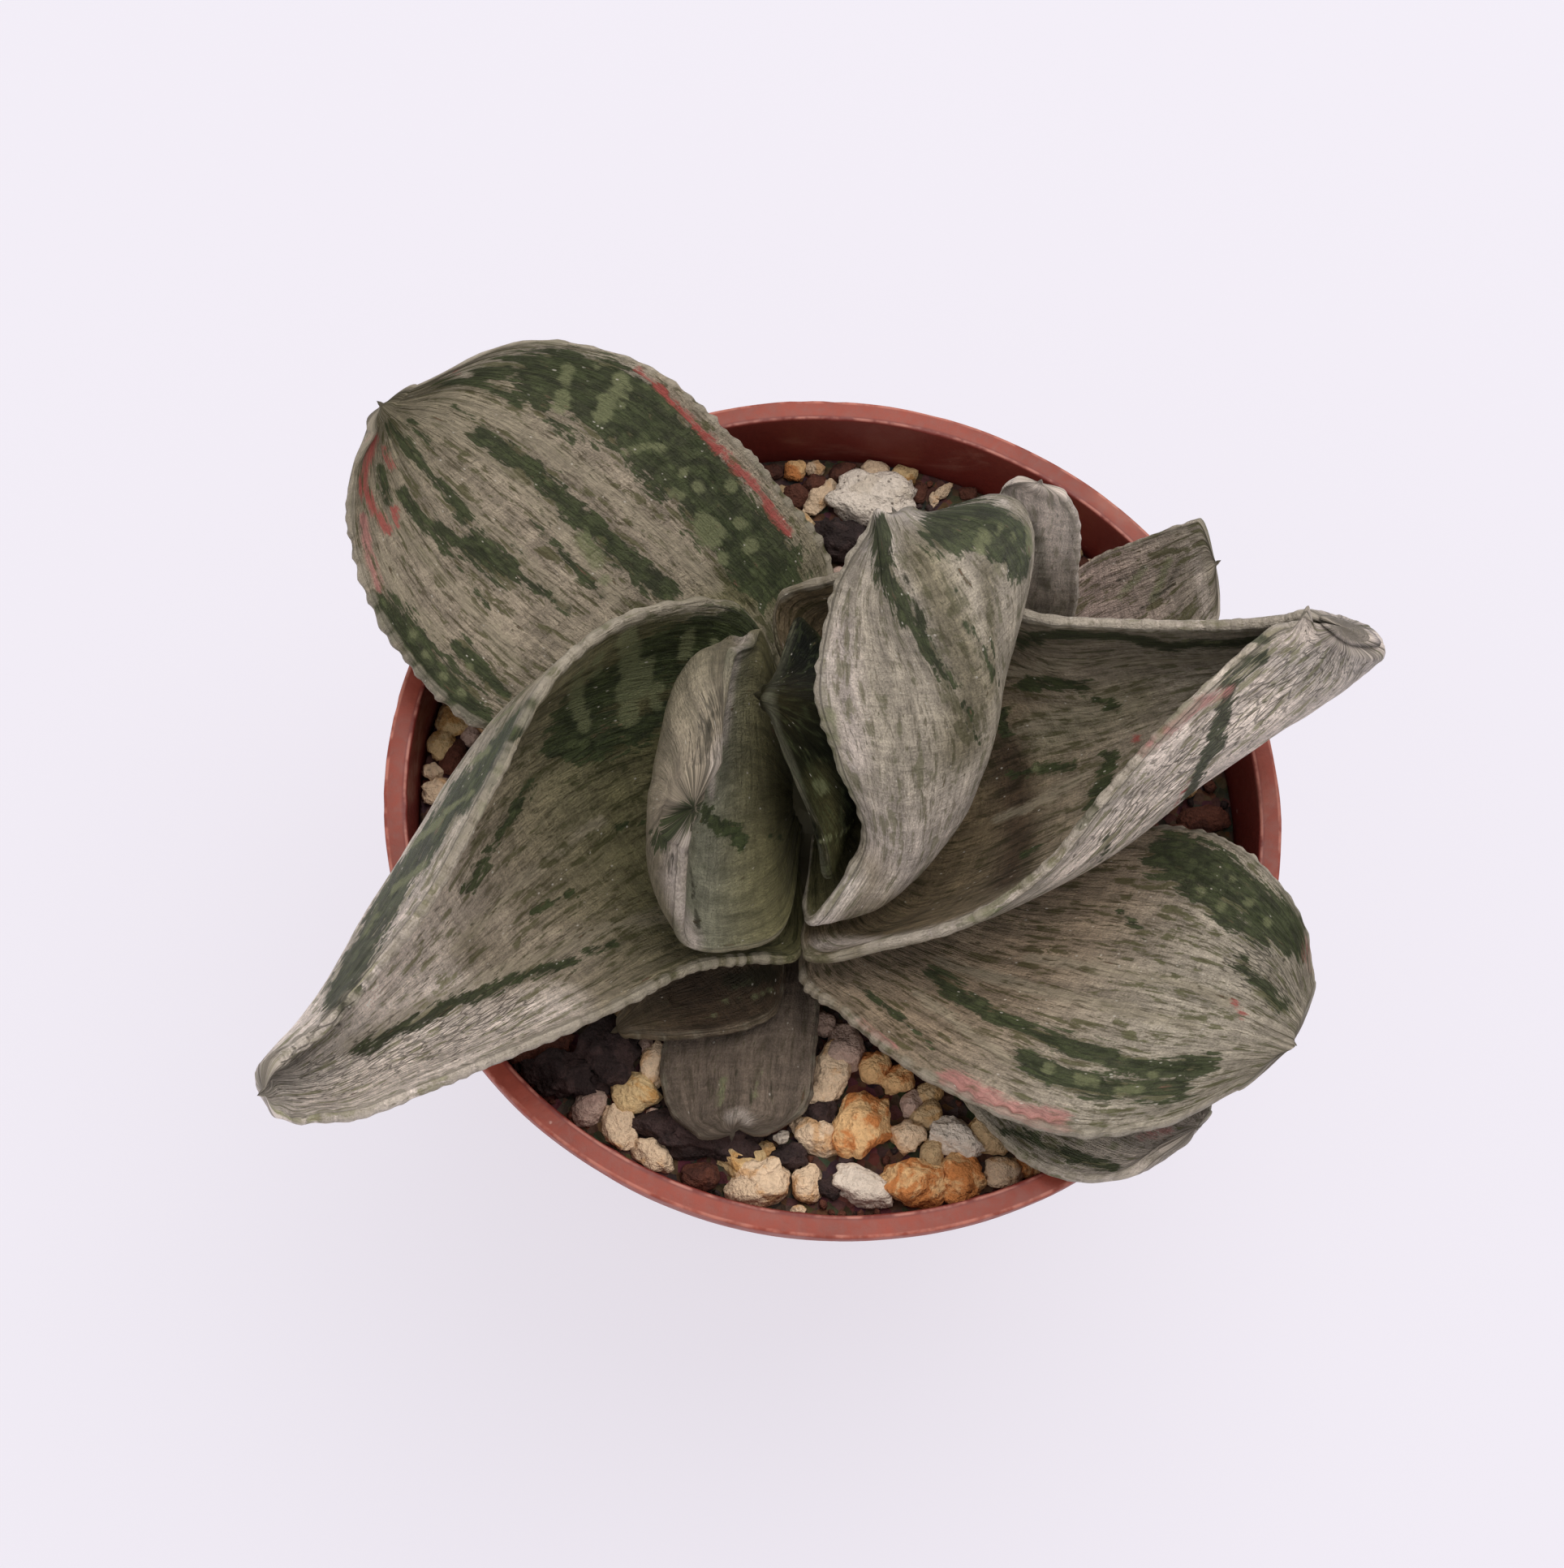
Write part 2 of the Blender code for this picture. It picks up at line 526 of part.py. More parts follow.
def clear_of_leaves(place, radius, trees):
    """Whether a stone at this place, in millimetres, stays a gap away from every leaf."""
    point = Vector([MM * value for value in place])
    for tree in trees:
        hit = tree.find_nearest(point, MM * (radius + GAP))
        if hit[0] is not None:
            return False
    return True


def soil_height(radius):
    """The filling's level below the rim: lower round the crown than at the wall."""
    return float(np.interp(radius, (SOIL_DISH, SOIL_SHOULDER), (SOIL_CROWN, SOIL_TOP)))


def lay_stones(stones, home, top):
    """The stones that the photo shows, then others at random, clear of the leaves, the wall and each other."""
    trees = []
    for thing in home.objects:
        if thing.name.startswith("leaf"):
            shaped = bmesh.new()
            shaped.from_mesh(thing.data)
            trees.append(BVHTree.FromBMesh(shaped))
            shaped.free()
    draw = random.Random(STONE_SEED)
    wall = wall_radius(top + SOIL_TOP, top) - 2 * GAP
    most = STONE_ROUGH[1]
    taken = []

    def add(x, y, length, width, turn):
        tall = STONE_TALL * (length + width)
        middle = top + soil_height(math.hypot(x, y)) + (0.5 - STONE_SUNK) * tall
        if math.hypot(x, y) + 0.5 * most * length > wall:
            return
        if not clear_of_leaves((x, y, middle), 0.5 * most * tall, trees):
            return
        if any(math.dist((x, y), other[:2]) < STONE_SPACING * (length + other[2]) for other in taken):
            return
        taken.append((x, y, length))
        name = f"stone_{len(taken)}"
        rounds = 2 if length > STONE_FINE_FROM else 1
        mesh = stone_mesh(name, (x, y, middle), (length, width, tall), turn, draw, rounds)
        new_object(name, mesh, stones)

    for stone in LARGE_STONES:
        add(*stone)
    wanted = len(LARGE_STONES) + STONE_COUNT
    for _ in range(STONE_TRIES):
        if len(taken) == wanted:
            break
        radius = STONE_REACH * math.sqrt(draw.random())
        angle = math.tau * draw.random()
        size = draw.uniform(STONE_SMALLEST, STONE_LARGEST)
        turn = draw.uniform(0, 180)
        add(math.cos(angle) * radius, math.sin(angle) * radius, size, 0.8 * size, turn)


def make_substrate(home, stem_cutter, top):
    finish = material("substrate", (0.10, 0.06, 0.045), 0.9)
    floor = BASE_THICKNESS + GAP
    step_height = top - COLLAR_HEIGHT
    edge = top + SOIL_TOP
    profile = [
        (0.0, top + SOIL_CROWN),
        (SOIL_DISH, top + SOIL_CROWN),
        (SOIL_SHOULDER, edge),
        (wall_radius(edge, top) - GAP, edge - GAP),
        (wall_radius(step_height, top) - GAP, step_height),
        (wall_radius(floor, top) - GAP, floor),
        (0.0, floor),
    ]
    soil = turned("substrate", profile, home, POT_SIDES, finish)
    as_mesh(soil)
    stones = collection("stones")
    lay_stones(stones, home, top)
    boolean(soil, stones, "UNION")
    as_mesh(soil)
    for thing in list(stones.objects):
        bpy.data.objects.remove(thing)
    bpy.data.collections.remove(stones)
    boolean(soil, stem_cutter, "DIFFERENCE")
    as_mesh(soil)
    shade(soil)


def main():
    clear_scene()
    home = collection("potted_gasteria")
    cutters = collection("cutters")
    cutters.hide_render = True
    make_pot(home, cutters, POT_HEIGHT)
    stem_cutter = make_stem(home, cutters, POT_HEIGHT)
    make_leaves(home, stem_cutter, POT_HEIGHT)
    make_substrate(home, stem_cutter, POT_HEIGHT)


main()
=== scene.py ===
import math
import random

import bmesh
import bpy
import numpy as np
from mathutils import Matrix, Vector, noise
from mathutils.bvhtree import BVHTree


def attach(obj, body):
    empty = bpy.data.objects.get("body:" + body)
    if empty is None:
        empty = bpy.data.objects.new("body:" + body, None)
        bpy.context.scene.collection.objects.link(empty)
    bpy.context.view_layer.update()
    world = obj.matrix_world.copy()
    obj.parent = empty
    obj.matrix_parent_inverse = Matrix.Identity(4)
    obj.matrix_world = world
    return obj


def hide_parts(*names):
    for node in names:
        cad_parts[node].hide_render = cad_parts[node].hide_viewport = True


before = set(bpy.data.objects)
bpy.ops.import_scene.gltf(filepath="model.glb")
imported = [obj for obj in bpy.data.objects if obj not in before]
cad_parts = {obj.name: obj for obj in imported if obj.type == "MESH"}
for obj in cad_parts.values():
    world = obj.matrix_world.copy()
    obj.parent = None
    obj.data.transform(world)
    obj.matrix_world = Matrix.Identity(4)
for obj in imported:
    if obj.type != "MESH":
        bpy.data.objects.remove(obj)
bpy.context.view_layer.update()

# Lengths are in millimetres and heights are above the pot's rim, unless a comment says otherwise. The scene
# itself is in metres from the middle of the pot's base. Colours are as a screen shows them, from 0 to 255.
MM = 0.001

# The camera, from the rim's middle. The photograph's focal length is in its own pixels.
PHOTO_WIDTH = 1927
PHOTO_HEIGHT = 1932
FOCAL = 3657.0
EYE = (-26.07, -105.05, 258.31)
AHEAD = (0.0743, 0.3787, -0.9225)
RIGHTWARD = (0.9968, 0.0, 0.0802)
UPWARD = (-0.0304, 0.9255, 0.3775)
FILM_WIDTH = 36.0
CLIP_START = 1.0

# The light all round, and the lamps, which all face one place above the pot's base. Each lamp has its place
# and width in metres, its power in watts, and its colour. These colours are the light's own, from 0 to 1.
SKY_COLOUR = (0.99, 0.95, 0.92, 1.0)
SKY_STRENGTH = 0.78
LAMP_TARGET = (0.0, 0.0, 0.05)
LAMPS = {
    "key_light": ((0.16, 0.3, 0.85), 0.8, 4.6, (1.0, 0.965, 0.91)),
    "fill_light": ((-0.55, -0.45, 0.6), 0.9, 0.8, (1.0, 0.97, 0.95)),
}

# The white paper that the pot stands on: its reach, its level from the base, the shares of the light that
# it gives back, and the colour and strength of its own glow.
FLOOR_REACH = 12000.0
FLOOR_LEVEL = -0.1
FLOOR_TONE = (0.165, 0.165, 0.19)
FLOOR_GLOW_COLOUR = (243, 238, 247)
FLOOR_GLOW = 0.75

# The pot, as in the solids, with its corners rounded off. Its heights are above its base.
POT_HEIGHT = 60.0
RIM_RADIUS = 42.5
LIP_WIDTH = 2.15
LIP_THICKNESS = 1.3
LIP_RADIUS = RIM_RADIUS - LIP_WIDTH
COLLAR_OVERHANG = 1.2
COLLAR_HEIGHT = 10.0
COLLAR_TAPER = 0.9
COLLAR_STEP = 0.4
COLLAR_WALL = 1.1
STEP_HEIGHT = POT_HEIGHT - COLLAR_HEIGHT
BASE_RADIUS = 27.5
WALL = 1.2
BASE_THICKNESS = 1.6
BASE_CHAMFER = 0.8
POT_SIDES = 240
CORNER_RADIUS = 0.28
CORNER_STEPS = 4
WALL_RING_PITCH = 1.6
POT_SEED = 41
POT_WAVE = 0.05
LIP_WAVE = 0.12
LIP_REACH = 0.5
NICK_DEPTH = 0.25
NICK_FROM = 0.55
DRAIN_HOLES = 5
DRAIN_RADIUS = 3.0
DRAIN_CIRCLE = 17.0
DRAIN_SIDES = 48
DRAIN_GROOVE_DEPTH = 0.7
DRAIN_GROOVE_WIDTH = 3.0

# The filling. Its roughness is in layers: (length of a swell, height).
SOIL_TOP = -6.4
SOIL_CROWN = -6.9
SOIL_DISH = 18.0
SOIL_SHOULDER = 30.0
SOIL_GAP = 0.3
SOIL_RINGS = 90
SOIL_SIDES = 300
SOIL_SEED = 50
SOIL_ROUGH = ((2.6, 0.35), (1.2, 0.25), (0.55, 0.12))
STEM_PLACE = (-2.5, -2.0)
STEM_HOLE = ((-27.3, 3.8), (-25.0, 5.8), (-8.0, 7.9))
STEM_COLOUR = (52, 48, 26)

# The leaves. Their relief is in layers: (height, length and width of a swell).
CURVE_STEPS = 400
ROW_PITCH = 0.36
COLUMN_PITCH = 0.38
EDGE_CROWD = 0.45
EDGE_STEPS = 7
EDGE_THICKNESS = 0.95
EDGE_REACH = 0.32
EDGE_WAVE = 0.06
EDGE_WAVE_LENGTH = 0.8
WART_PITCH = (1.1, 2.3)
WART_HEIGHT = (0.16, 0.5)
WART_WIDTH = (0.42, 0.8)
WARTS_FROM = 0.1
BEAD_HEIGHT = 0.03
BEAD_PLACE = 0.22
BEAD_WIDTH = 0.34
BEAD_OF_WART = 0.6
BEAD_UNDER = 0.7
RELIEF = ((0.16, 8.0, 5.0), (0.07, 7.0, 1.3), (0.045, 2.2, 0.9))
RELIEF_FADE = 1.2
FULLNESS = 2.4
KEEL_HALF_WIDTH = 0.22
KEEL_POWER = 1.4
NARROW_THICKNESS = 0.6
NARROW_SHARE = 0.45
ROOT_SHARE = 0.7
ROOT_RUN = 0.3
TIP_THINNING = 0.45
TIP_REACH = 0.8
TIP_ROWS = 7
TIP_ROUND = 0.8
MUCRO_LENGTH = 0.75
MUCRO_RADIUS = 0.22

# Each leaf: its thickness, its keel's height, and points across its upper face, in rows from root to tip.
LEAVES = {
    "leaf_left": (3.0, 0.6, (
        ((-4.2, -6.7, 2.6), (-6.6, -4.9, 1.9), (-7.5, -1.8, 1.6), (-6.3, 1.2, 1.9), (-3.8, 2.8, 2.6)),
        ((-4, -16.6, 4.5), (-9, -11.5, 2.4), (-12, -2, 2.2), (-12.5, 8, 3.2), (-8.6, 15.7, 4.8)),
        ((-8.5, -18.3, 6.5), (-12.5, -13.5, 4), (-18, -3, 3.2), (-20, 6, 7.5), (-18.5, 10.6, 16)),
        ((-14, -20, 8.5), (-18, -15.5, 5.8), (-24, -8, 4.5), (-28.5, 0, 12), (-26.5, 1.5, 22)),
        ((-21.5, -24.9, 11), (-24.5, -20.5, 7.8), (-29.5, -13.5, 6.5), (-33.5, -6.5, 14), (-31.5, -9, 22)),
        ((-30.5, -29.9, 13), (-32, -26.5, 10.2), (-35, -20.5, 9), (-38.5, -15.5, 14), (-36, -19, 22)),
        ((-37, -33.4, 14.5), (-38.5, -31, 12.2), (-40.5, -26.5, 11), (-42.5, -22.5, 13.5), (-40, -24, 19)),
        ((-43, -36, 15), (-44, -34.2, 13.2), (-45.5, -31, 12.2), (-46, -28, 13), (-44.5, -29, 16.5)),
        ((-48.7, -36, 15.2), (-49.2, -35, 14.4), (-49.7, -34, 14.2), (-49.5, -33, 14.6), (-49, -32.5, 15.4)),
    )),
    "leaf_right": (3.0, 0.6, (
        ((-1.6, 2.9, 2.6), (1, 1.5, 1.9), (2.5, -1.8, 1.6), (1.3, -5.2, 1.9), (-1.6, -6.9, 2.6)),
        ((-6.3, 15.4, 6), (4, 9.5, 3.2), (9, -1, 2.4), (6, -11, 2.8), (-3.4, -17.1, 5.2)),
        ((-2, 16.2, 12), (6, 12.5, 6), (13, 0, 3.4), (10, -11, 4), (3, -17, 7.5)),
        ((6.5, 14.5, 18), (12.5, 12.5, 9), (18, 1.5, 5.5), (16, -9, 6.5), (10.5, -15.5, 10.5)),
        ((15.5, 10.9, 17), (19.5, 9.5, 10), (24.5, 3, 7.5), (23.5, -6, 9.5), (17, -11.5, 14)),
        ((24, 10.3, 17), (27.5, 10.2, 11), (31, 5.5, 9), (30.5, -1, 12), (22, -6, 18)),
        ((32.5, 10.2, 17.5), (36, 10.6, 12), (39.8, 8, 10.5), (38, 4, 14), (28, 0.5, 20)),
        ((38.2, 10.1, 19), (42.5, 11.2, 14), (46.2, 10.2, 12), (43, 7.5, 15), (36.6, 8.5, 21)),
        ((40.6, 10.4, 20.2), (44.4, 10.6, 17.5), (47.8, 10.2, 15.4), (44, 9.2, 17.5), (40.3, 9.8, 20.6)),
    )),
    "leaf_back_left": (3.2, 0.8, (
        ((-8.4, -0.8, -3), (-6.4, 2.6, -3.3), (-3, 4, -3)),
        ((-20, 5, -1), (-12, 11, -2), (-0.5, 22.5, 0)),
        ((-33, 4.5, 3.5), (-21, 17, 1.5), (-6, 30, 4)),
        ((-41.5, 11.5, 6.5), (-30, 23, 5), (-12.5, 35, 8)),
        ((-45.5, 19.5, 9), (-36.5, 27.5, 8), (-20, 40, 10)),
        ((-46, 26, 11), (-41, 31, 10), (-31, 40.5, 12)),
        ((-44.3, 30.5, 12), (-43.3, 32.3, 12), (-41, 35, 12.3)),
    )),
    "leaf_front_right": (3.0, 0.7, (
        ((3, -2, -1.4), (2.1, -5.2, -1.4), (-0.6, -7.3, -1.2)),
        ((12, -4, -1), (6, -11, -1), (-3.5, -17.8, 1.8)),
        ((21, -3.5, 0.8), (13.5, -15, 0.8), (0.5, -22.5, 3.5)),
        ((31.5, -4, 4), (22, -17.5, 3.2), (7.5, -29, 6)),
        ((37, -7.5, 7), (29.5, -20, 6), (18.5, -34, 7.5)),
        ((41.2, -14, 8.5), (35.5, -22.6, 8), (27.5, -33.6, 8.8)),
        ((41.8, -20.6, 9.3), (39.4, -25.3, 9), (34.5, -30.2, 9.3)),
    )),
    "leaf_center_right": (2.4, 1.6, (
        ((0.5, -0.6, 4.4), (0.8, -2.3, 4.4), (0.2, -4, 4.4), (-1.1, -5.1, 4.3), (-2.6, -5.4, 4.2)),
        ((7.6, 3, 8), (6.8, -2, 7), (4.4, -8, 6.6), (1.4, -12, 6.8), (-3.3, -14.8, 7.4)),
        ((11.8, 4.5, 13), (9.8, -0.5, 11.4), (7.6, -5.5, 9.8), (4, -9.5, 10.4), (0.9, -9.2, 12.8)),
        ((12.8, 9, 17.5), (11.2, 4.5, 16.5), (9.4, 0, 15.5), (4, -4.5, 17), (-2, -5, 20)),
        ((14.2, 13, 21), (12.6, 9.5, 21), (8, 3, 22.4), (3, 1, 23.5), (-4, 0, 24)),
        ((14.4, 16.5, 24), (12.4, 13.2, 26), (5.4, 6.5, 28), (1.3, 5.5, 28), (-3, 6.5, 28)),
        ((11.6, 17.8, 27), (9.2, 14.5, 28.8), (3, 10.2, 31), (0.7, 9.5, 30.5), (-1.5, 10, 31)),
        ((5.2, 13.6, 31), (3.2, 12.8, 32), (1.4, 12, 33.2), (0.9, 12, 33), (0.4, 12.2, 33)),
    )),
    "leaf_center_left": (5.2, 0.3, (
        ((-3.8, -4.9, 4.6), (-4.4, -3.8, 4.8), (-4.6, -2, 5), (-4.3, -0.4, 4.8), (-3.8, 0.6, 4.6)),
        ((-5.5, -15.5, 7.5), (-6.4, -10, 7.6), (-7, -2, 8.2), (-7.4, 7.5, 8.8), (-7.5, 12, 8.5)),
        ((-10.5, -18.5, 9), (-11, -13.5, 9.8), (-10.6, -3, 11), (-10.2, 7, 11.4), (-8.8, 10.2, 10.8)),
        ((-14.5, -19, 12), (-14.2, -14.5, 14), (-13.4, -6.5, 15.6), (-12.6, 3.2, 15.2), (-10.5, 8, 13.5)),
        ((-15, -16.5, 17), (-15.2, -13.6, 18.6), (-14.6, -9, 19.8), (-13.3, -2, 19.3), (-11.5, 2.5, 18)),
        ((-15, -13.5, 21), (-15, -12.5, 21.5), (-14.3, -11, 22), (-13.6, -8.5, 22), (-12.8, -6, 21)),
    )),
    "leaf_heart": (2.0, 0.4, (
        ((-3.4, -0.6, 5.2), (-1.6, -2, 5.2), (-3.2, -3.4, 5.2)),
        ((-4, 10.5, 8.2), (-0.2, 1, 7.2), (-2.2, -10.3, 8.2)),
        ((-5, 12.5, 11), (0, 1.5, 12), (-2.6, -11.5, 10.5)),
        ((-6, 9, 14), (-1.5, 0, 16), (-3.5, -8.5, 13.5)),
        ((-7, 4.5, 16.5), (-4, 0.5, 18.5), (-6, -3.5, 16.5)),
        ((-8, 2.2, 18), (-7.6, 1.5, 18.5), (-7.6, 0.8, 18)),
    )),
    "leaf_under_right": (1.9, 0.4, (
        ((2.8, -5.7, -4.5), (1.7, -7, -4.5), (0.2, -7.9, -4.5)),
        ((12, -13, -3.9), (9.5, -16.5, -4), (6, -19.5, -3.8)),
        ((24, -21, -0.5), (18.5, -25.5, -1), (12.5, -30, -0.5)),
        ((31, -25.5, 2), (24.5, -30.5, 1.6), (18, -36, 2)),
        ((33, -29, 3.3), (28.5, -33.5, 3), (24, -37, 3.3)),
        ((32.8, -31.2, 3.8), (30.8, -33, 3.7), (28.5, -34.3, 3.8)),
    )),
    "leaf_front_left": (1.7, 0.3, (
        ((-4.7, -7.9, -1.6), (-6.5, -6.8, -1.8), (-8, -5.2, -1.6)),
        ((-5.3, -19, -1.6), (-8, -15.5, -2), (-11.5, -12, -1.2)),
        ((-8.2, -22.2, -1.4), (-11, -18.5, -1.8), (-14.5, -15, -1)),
        ((-14.5, -23.6, -0.9), (-16, -20.5, -1.2), (-18, -17.8, -0.8)),
        ((-19.2, -23.6, -0.7), (-19.6, -22.8, -0.8), (-19.8, -21.8, -0.7)),
    )),
    "leaf_front": (1.7, 0.3, (
        ((-3, -8.2, -4.2), (-4.6, -7.8, -4.2), (-6.2, -7.2, -4.2)),
        ((-1.8, -17, -3.8), (-7, -17, -4), (-13, -17.5, -4.3)),
        ((-2.2, -24, -3.2), (-9, -24, -3.5), (-15.8, -24.5, -4)),
        ((-3, -29.5, -2.6), (-9.3, -29, -2.8), (-15, -30, -3.2)),
        ((-6.5, -31.8, -2.4), (-9.5, -31, -2.5), (-12.4, -32.2, -2.6)),
    )),
    "leaf_back_right": (1.9, 0.6, (
        ((2, 2.5, -4), (3, 1.2, -4), (3.6, -0.4, -4)),
        ((12.5, 15, -3.2), (15, 11, -3.4), (16.5, 6, -3.2)),
        ((23.8, 24, 1), (25, 18.5, -1), (26.5, 11.5, -1)),
        ((29, 25.5, 4.3), (31, 20.5, 2.4), (33, 13.5, 1.8)),
        ((33.8, 25.6, 9), (35.2, 22.2, 6.4), (36, 17.5, 5)),
    )),
    "leaf_back": (1.7, 0.3, (
        ((-1.6, 4.4, -1.2), (0, 4, -1.2), (1.2, 3.2, -1.2)),
        ((6.2, 16, -0.5), (9.2, 13.6, -0.6), (12, 10.6, -0.6)),
        ((11, 20, 5), (15.5, 17.2, 3), (21, 15.5, 4.5)),
        ((12, 20.8, 14), (15.5, 18.5, 13), (20.8, 17.6, 14)),
        ((12.6, 20.6, 20), (15.6, 19.2, 20.5), (20, 19, 20)),
        ((13.8, 20.4, 24.5), (15.6, 19.8, 24.5), (18.2, 19.5, 24)),
    )),
}

# The skin's own colours.
COLOURS = {
    "soot": (44, 40, 24),
    "moss": (58, 56, 34),
    "olive": (90, 86, 62),
    "khaki": (110, 103, 86),
    "sage": (127, 117, 103),
    "grey": (140, 132, 120),
    "silver": (159, 149, 142),
    "chalk": (172, 163, 156),
    "bone": (190, 178, 170),
    "mauve": (133, 118, 110),
    "ash": (90, 79, 70),
    "fern": (106, 105, 90),
    "frost": (208, 197, 190),
    "umber": (94, 82, 64),
    "taupe": (120, 106, 90),
    "ink": (17, 19, 8),
    "slate": (74, 74, 62),
    "brown": (62, 50, 38),
}

# How each leaf looks: the colours of its upper face and of its under face, from root to tip, its share of
# the warts' height, the width of its edge's pale line, and the strength of its streaks.
LOOKS = {
    "leaf_left": ("moss olive sage bone frost", "olive khaki grey bone frost", 0.9, 0.6, 0.85),
    "leaf_right": ("umber umber sage grey grey", "khaki grey chalk bone chalk", 0.75, 0.5, 0.85),
    "leaf_back_left": ("moss khaki sage sage khaki", "olive khaki sage sage sage", 0.9, 0.6, 1.0),
    "leaf_front_right": ("taupe taupe taupe grey grey", "olive khaki sage grey sage", 0.75, 0.5, 1.0),
    "leaf_center_right": ("moss olive khaki khaki grey", "grey silver grey grey grey", 0.7, 0.6, 0.65),
    "leaf_center_left": ("moss olive fern fern sage", "khaki khaki khaki khaki sage", 0.12, 0.3, 0.2),
    "leaf_heart": ("moss moss ink ink soot", "moss moss ink ink soot", 0.15, 0.0, 0.3),
    "leaf_under_right": ("slate sage grey grey silver", "slate sage grey grey silver", 0.4, 0.5, 1.0),
    "leaf_front_left": ("brown brown brown brown umber", "brown brown brown brown umber", 0.25, 0.35, 0.4),
    "leaf_front": ("brown brown ash ash ash", "brown ash ash ash ash", 0.25, 0.35, 0.4),
    "leaf_back_right": ("taupe mauve mauve mauve grey", "taupe mauve mauve mauve grey", 0.4, 0.35, 1.0),
    "leaf_back": ("taupe sage grey chalk bone", "taupe sage grey chalk bone", 0.3, 0.6, 0.4),
}
SKIN_GAIN = 1.45

# The noises of a leaf's skin: swells per millimetre along and across, detail, roughness and distortion.
# They are the broad one, the streaks, the hairs, the patches, the blots, the grain and the cross bands.
SKIN_NOISES = (
    ((0.12, 0.5), 4.0, 0.6, 0.4),
    ((0.17, 1.15), 5.0, 0.62, 0.6),
    ((0.5, 3.4), 4.0, 0.6, 0.6),
    ((0.5, 0.8), 5.0, 0.62, 0.6),
    ((0.24, 0.5), 3.0, 0.6, 0.5),
    ((5.0, 6.0), 3.0, 0.65, 0.0),
    ((1.4, 0.25), 4.0, 0.62, 0.6),
)

# How a field is laid over the skin: how far its edge wanders, where it starts and is whole, and its share.
LAYERS = {
    "pale": (1.0, 0.3, 0.8, 0.6),
    "green": (1.35, 0.36, 0.62, 0.94),
    "spot": (0.6, 0.32, 0.72, 0.68),
    "red": (1.0, 0.36, 0.8, 0.85),
    "pink": (1.0, 0.3, 0.9, 0.8),
    # painted shade: the dark field darkens the skin where a leaf lies in shade
    "dark": (1.0, 0.3, 0.8, 0.8),
    "margin": (0.8, 0.3, 0.9, 0.62),
}
MARK_COLOURS = {
    "pale": (158, 148, 128),
    "spot": (124, 128, 94),
    "red": (166, 78, 74),
    "pink": (176, 120, 116),
    # the colour of the painted shade
    "dark": (38, 36, 22),
    "margin": (118, 112, 96),
}
MARGIN_PALE = (152, 144, 130)
GREEN_COLOURS = ((36, 44, 22), (58, 68, 38))
GREEN_DOTS = (98, 108, 70)
TINT_COLOUR = (150, 160, 118)
LINE_COLOUR = (128, 126, 100)
# The colour of the painted shade in the skin's creases.
CREASE_SHADE_COLOUR = (58, 56, 44)
NET_COLOUR = (92, 102, 70)
DUST_COLOUR = (206, 200, 190)

# The skin's pattern starts elsewhere on each face and each leaf, by these steps.
FACE_SHIFT = 37.0
LEAF_SHIFT = 91.0

# How soft a stroke's edge is, how much softer for each millimetre of its half width, and its pitch in
# pixels.
STROKE_SOFT = 0.36
STROKE_SOFTNESS = 0.46
PALE_SOFTNESS = 0.6
STROKE_PITCH = 6
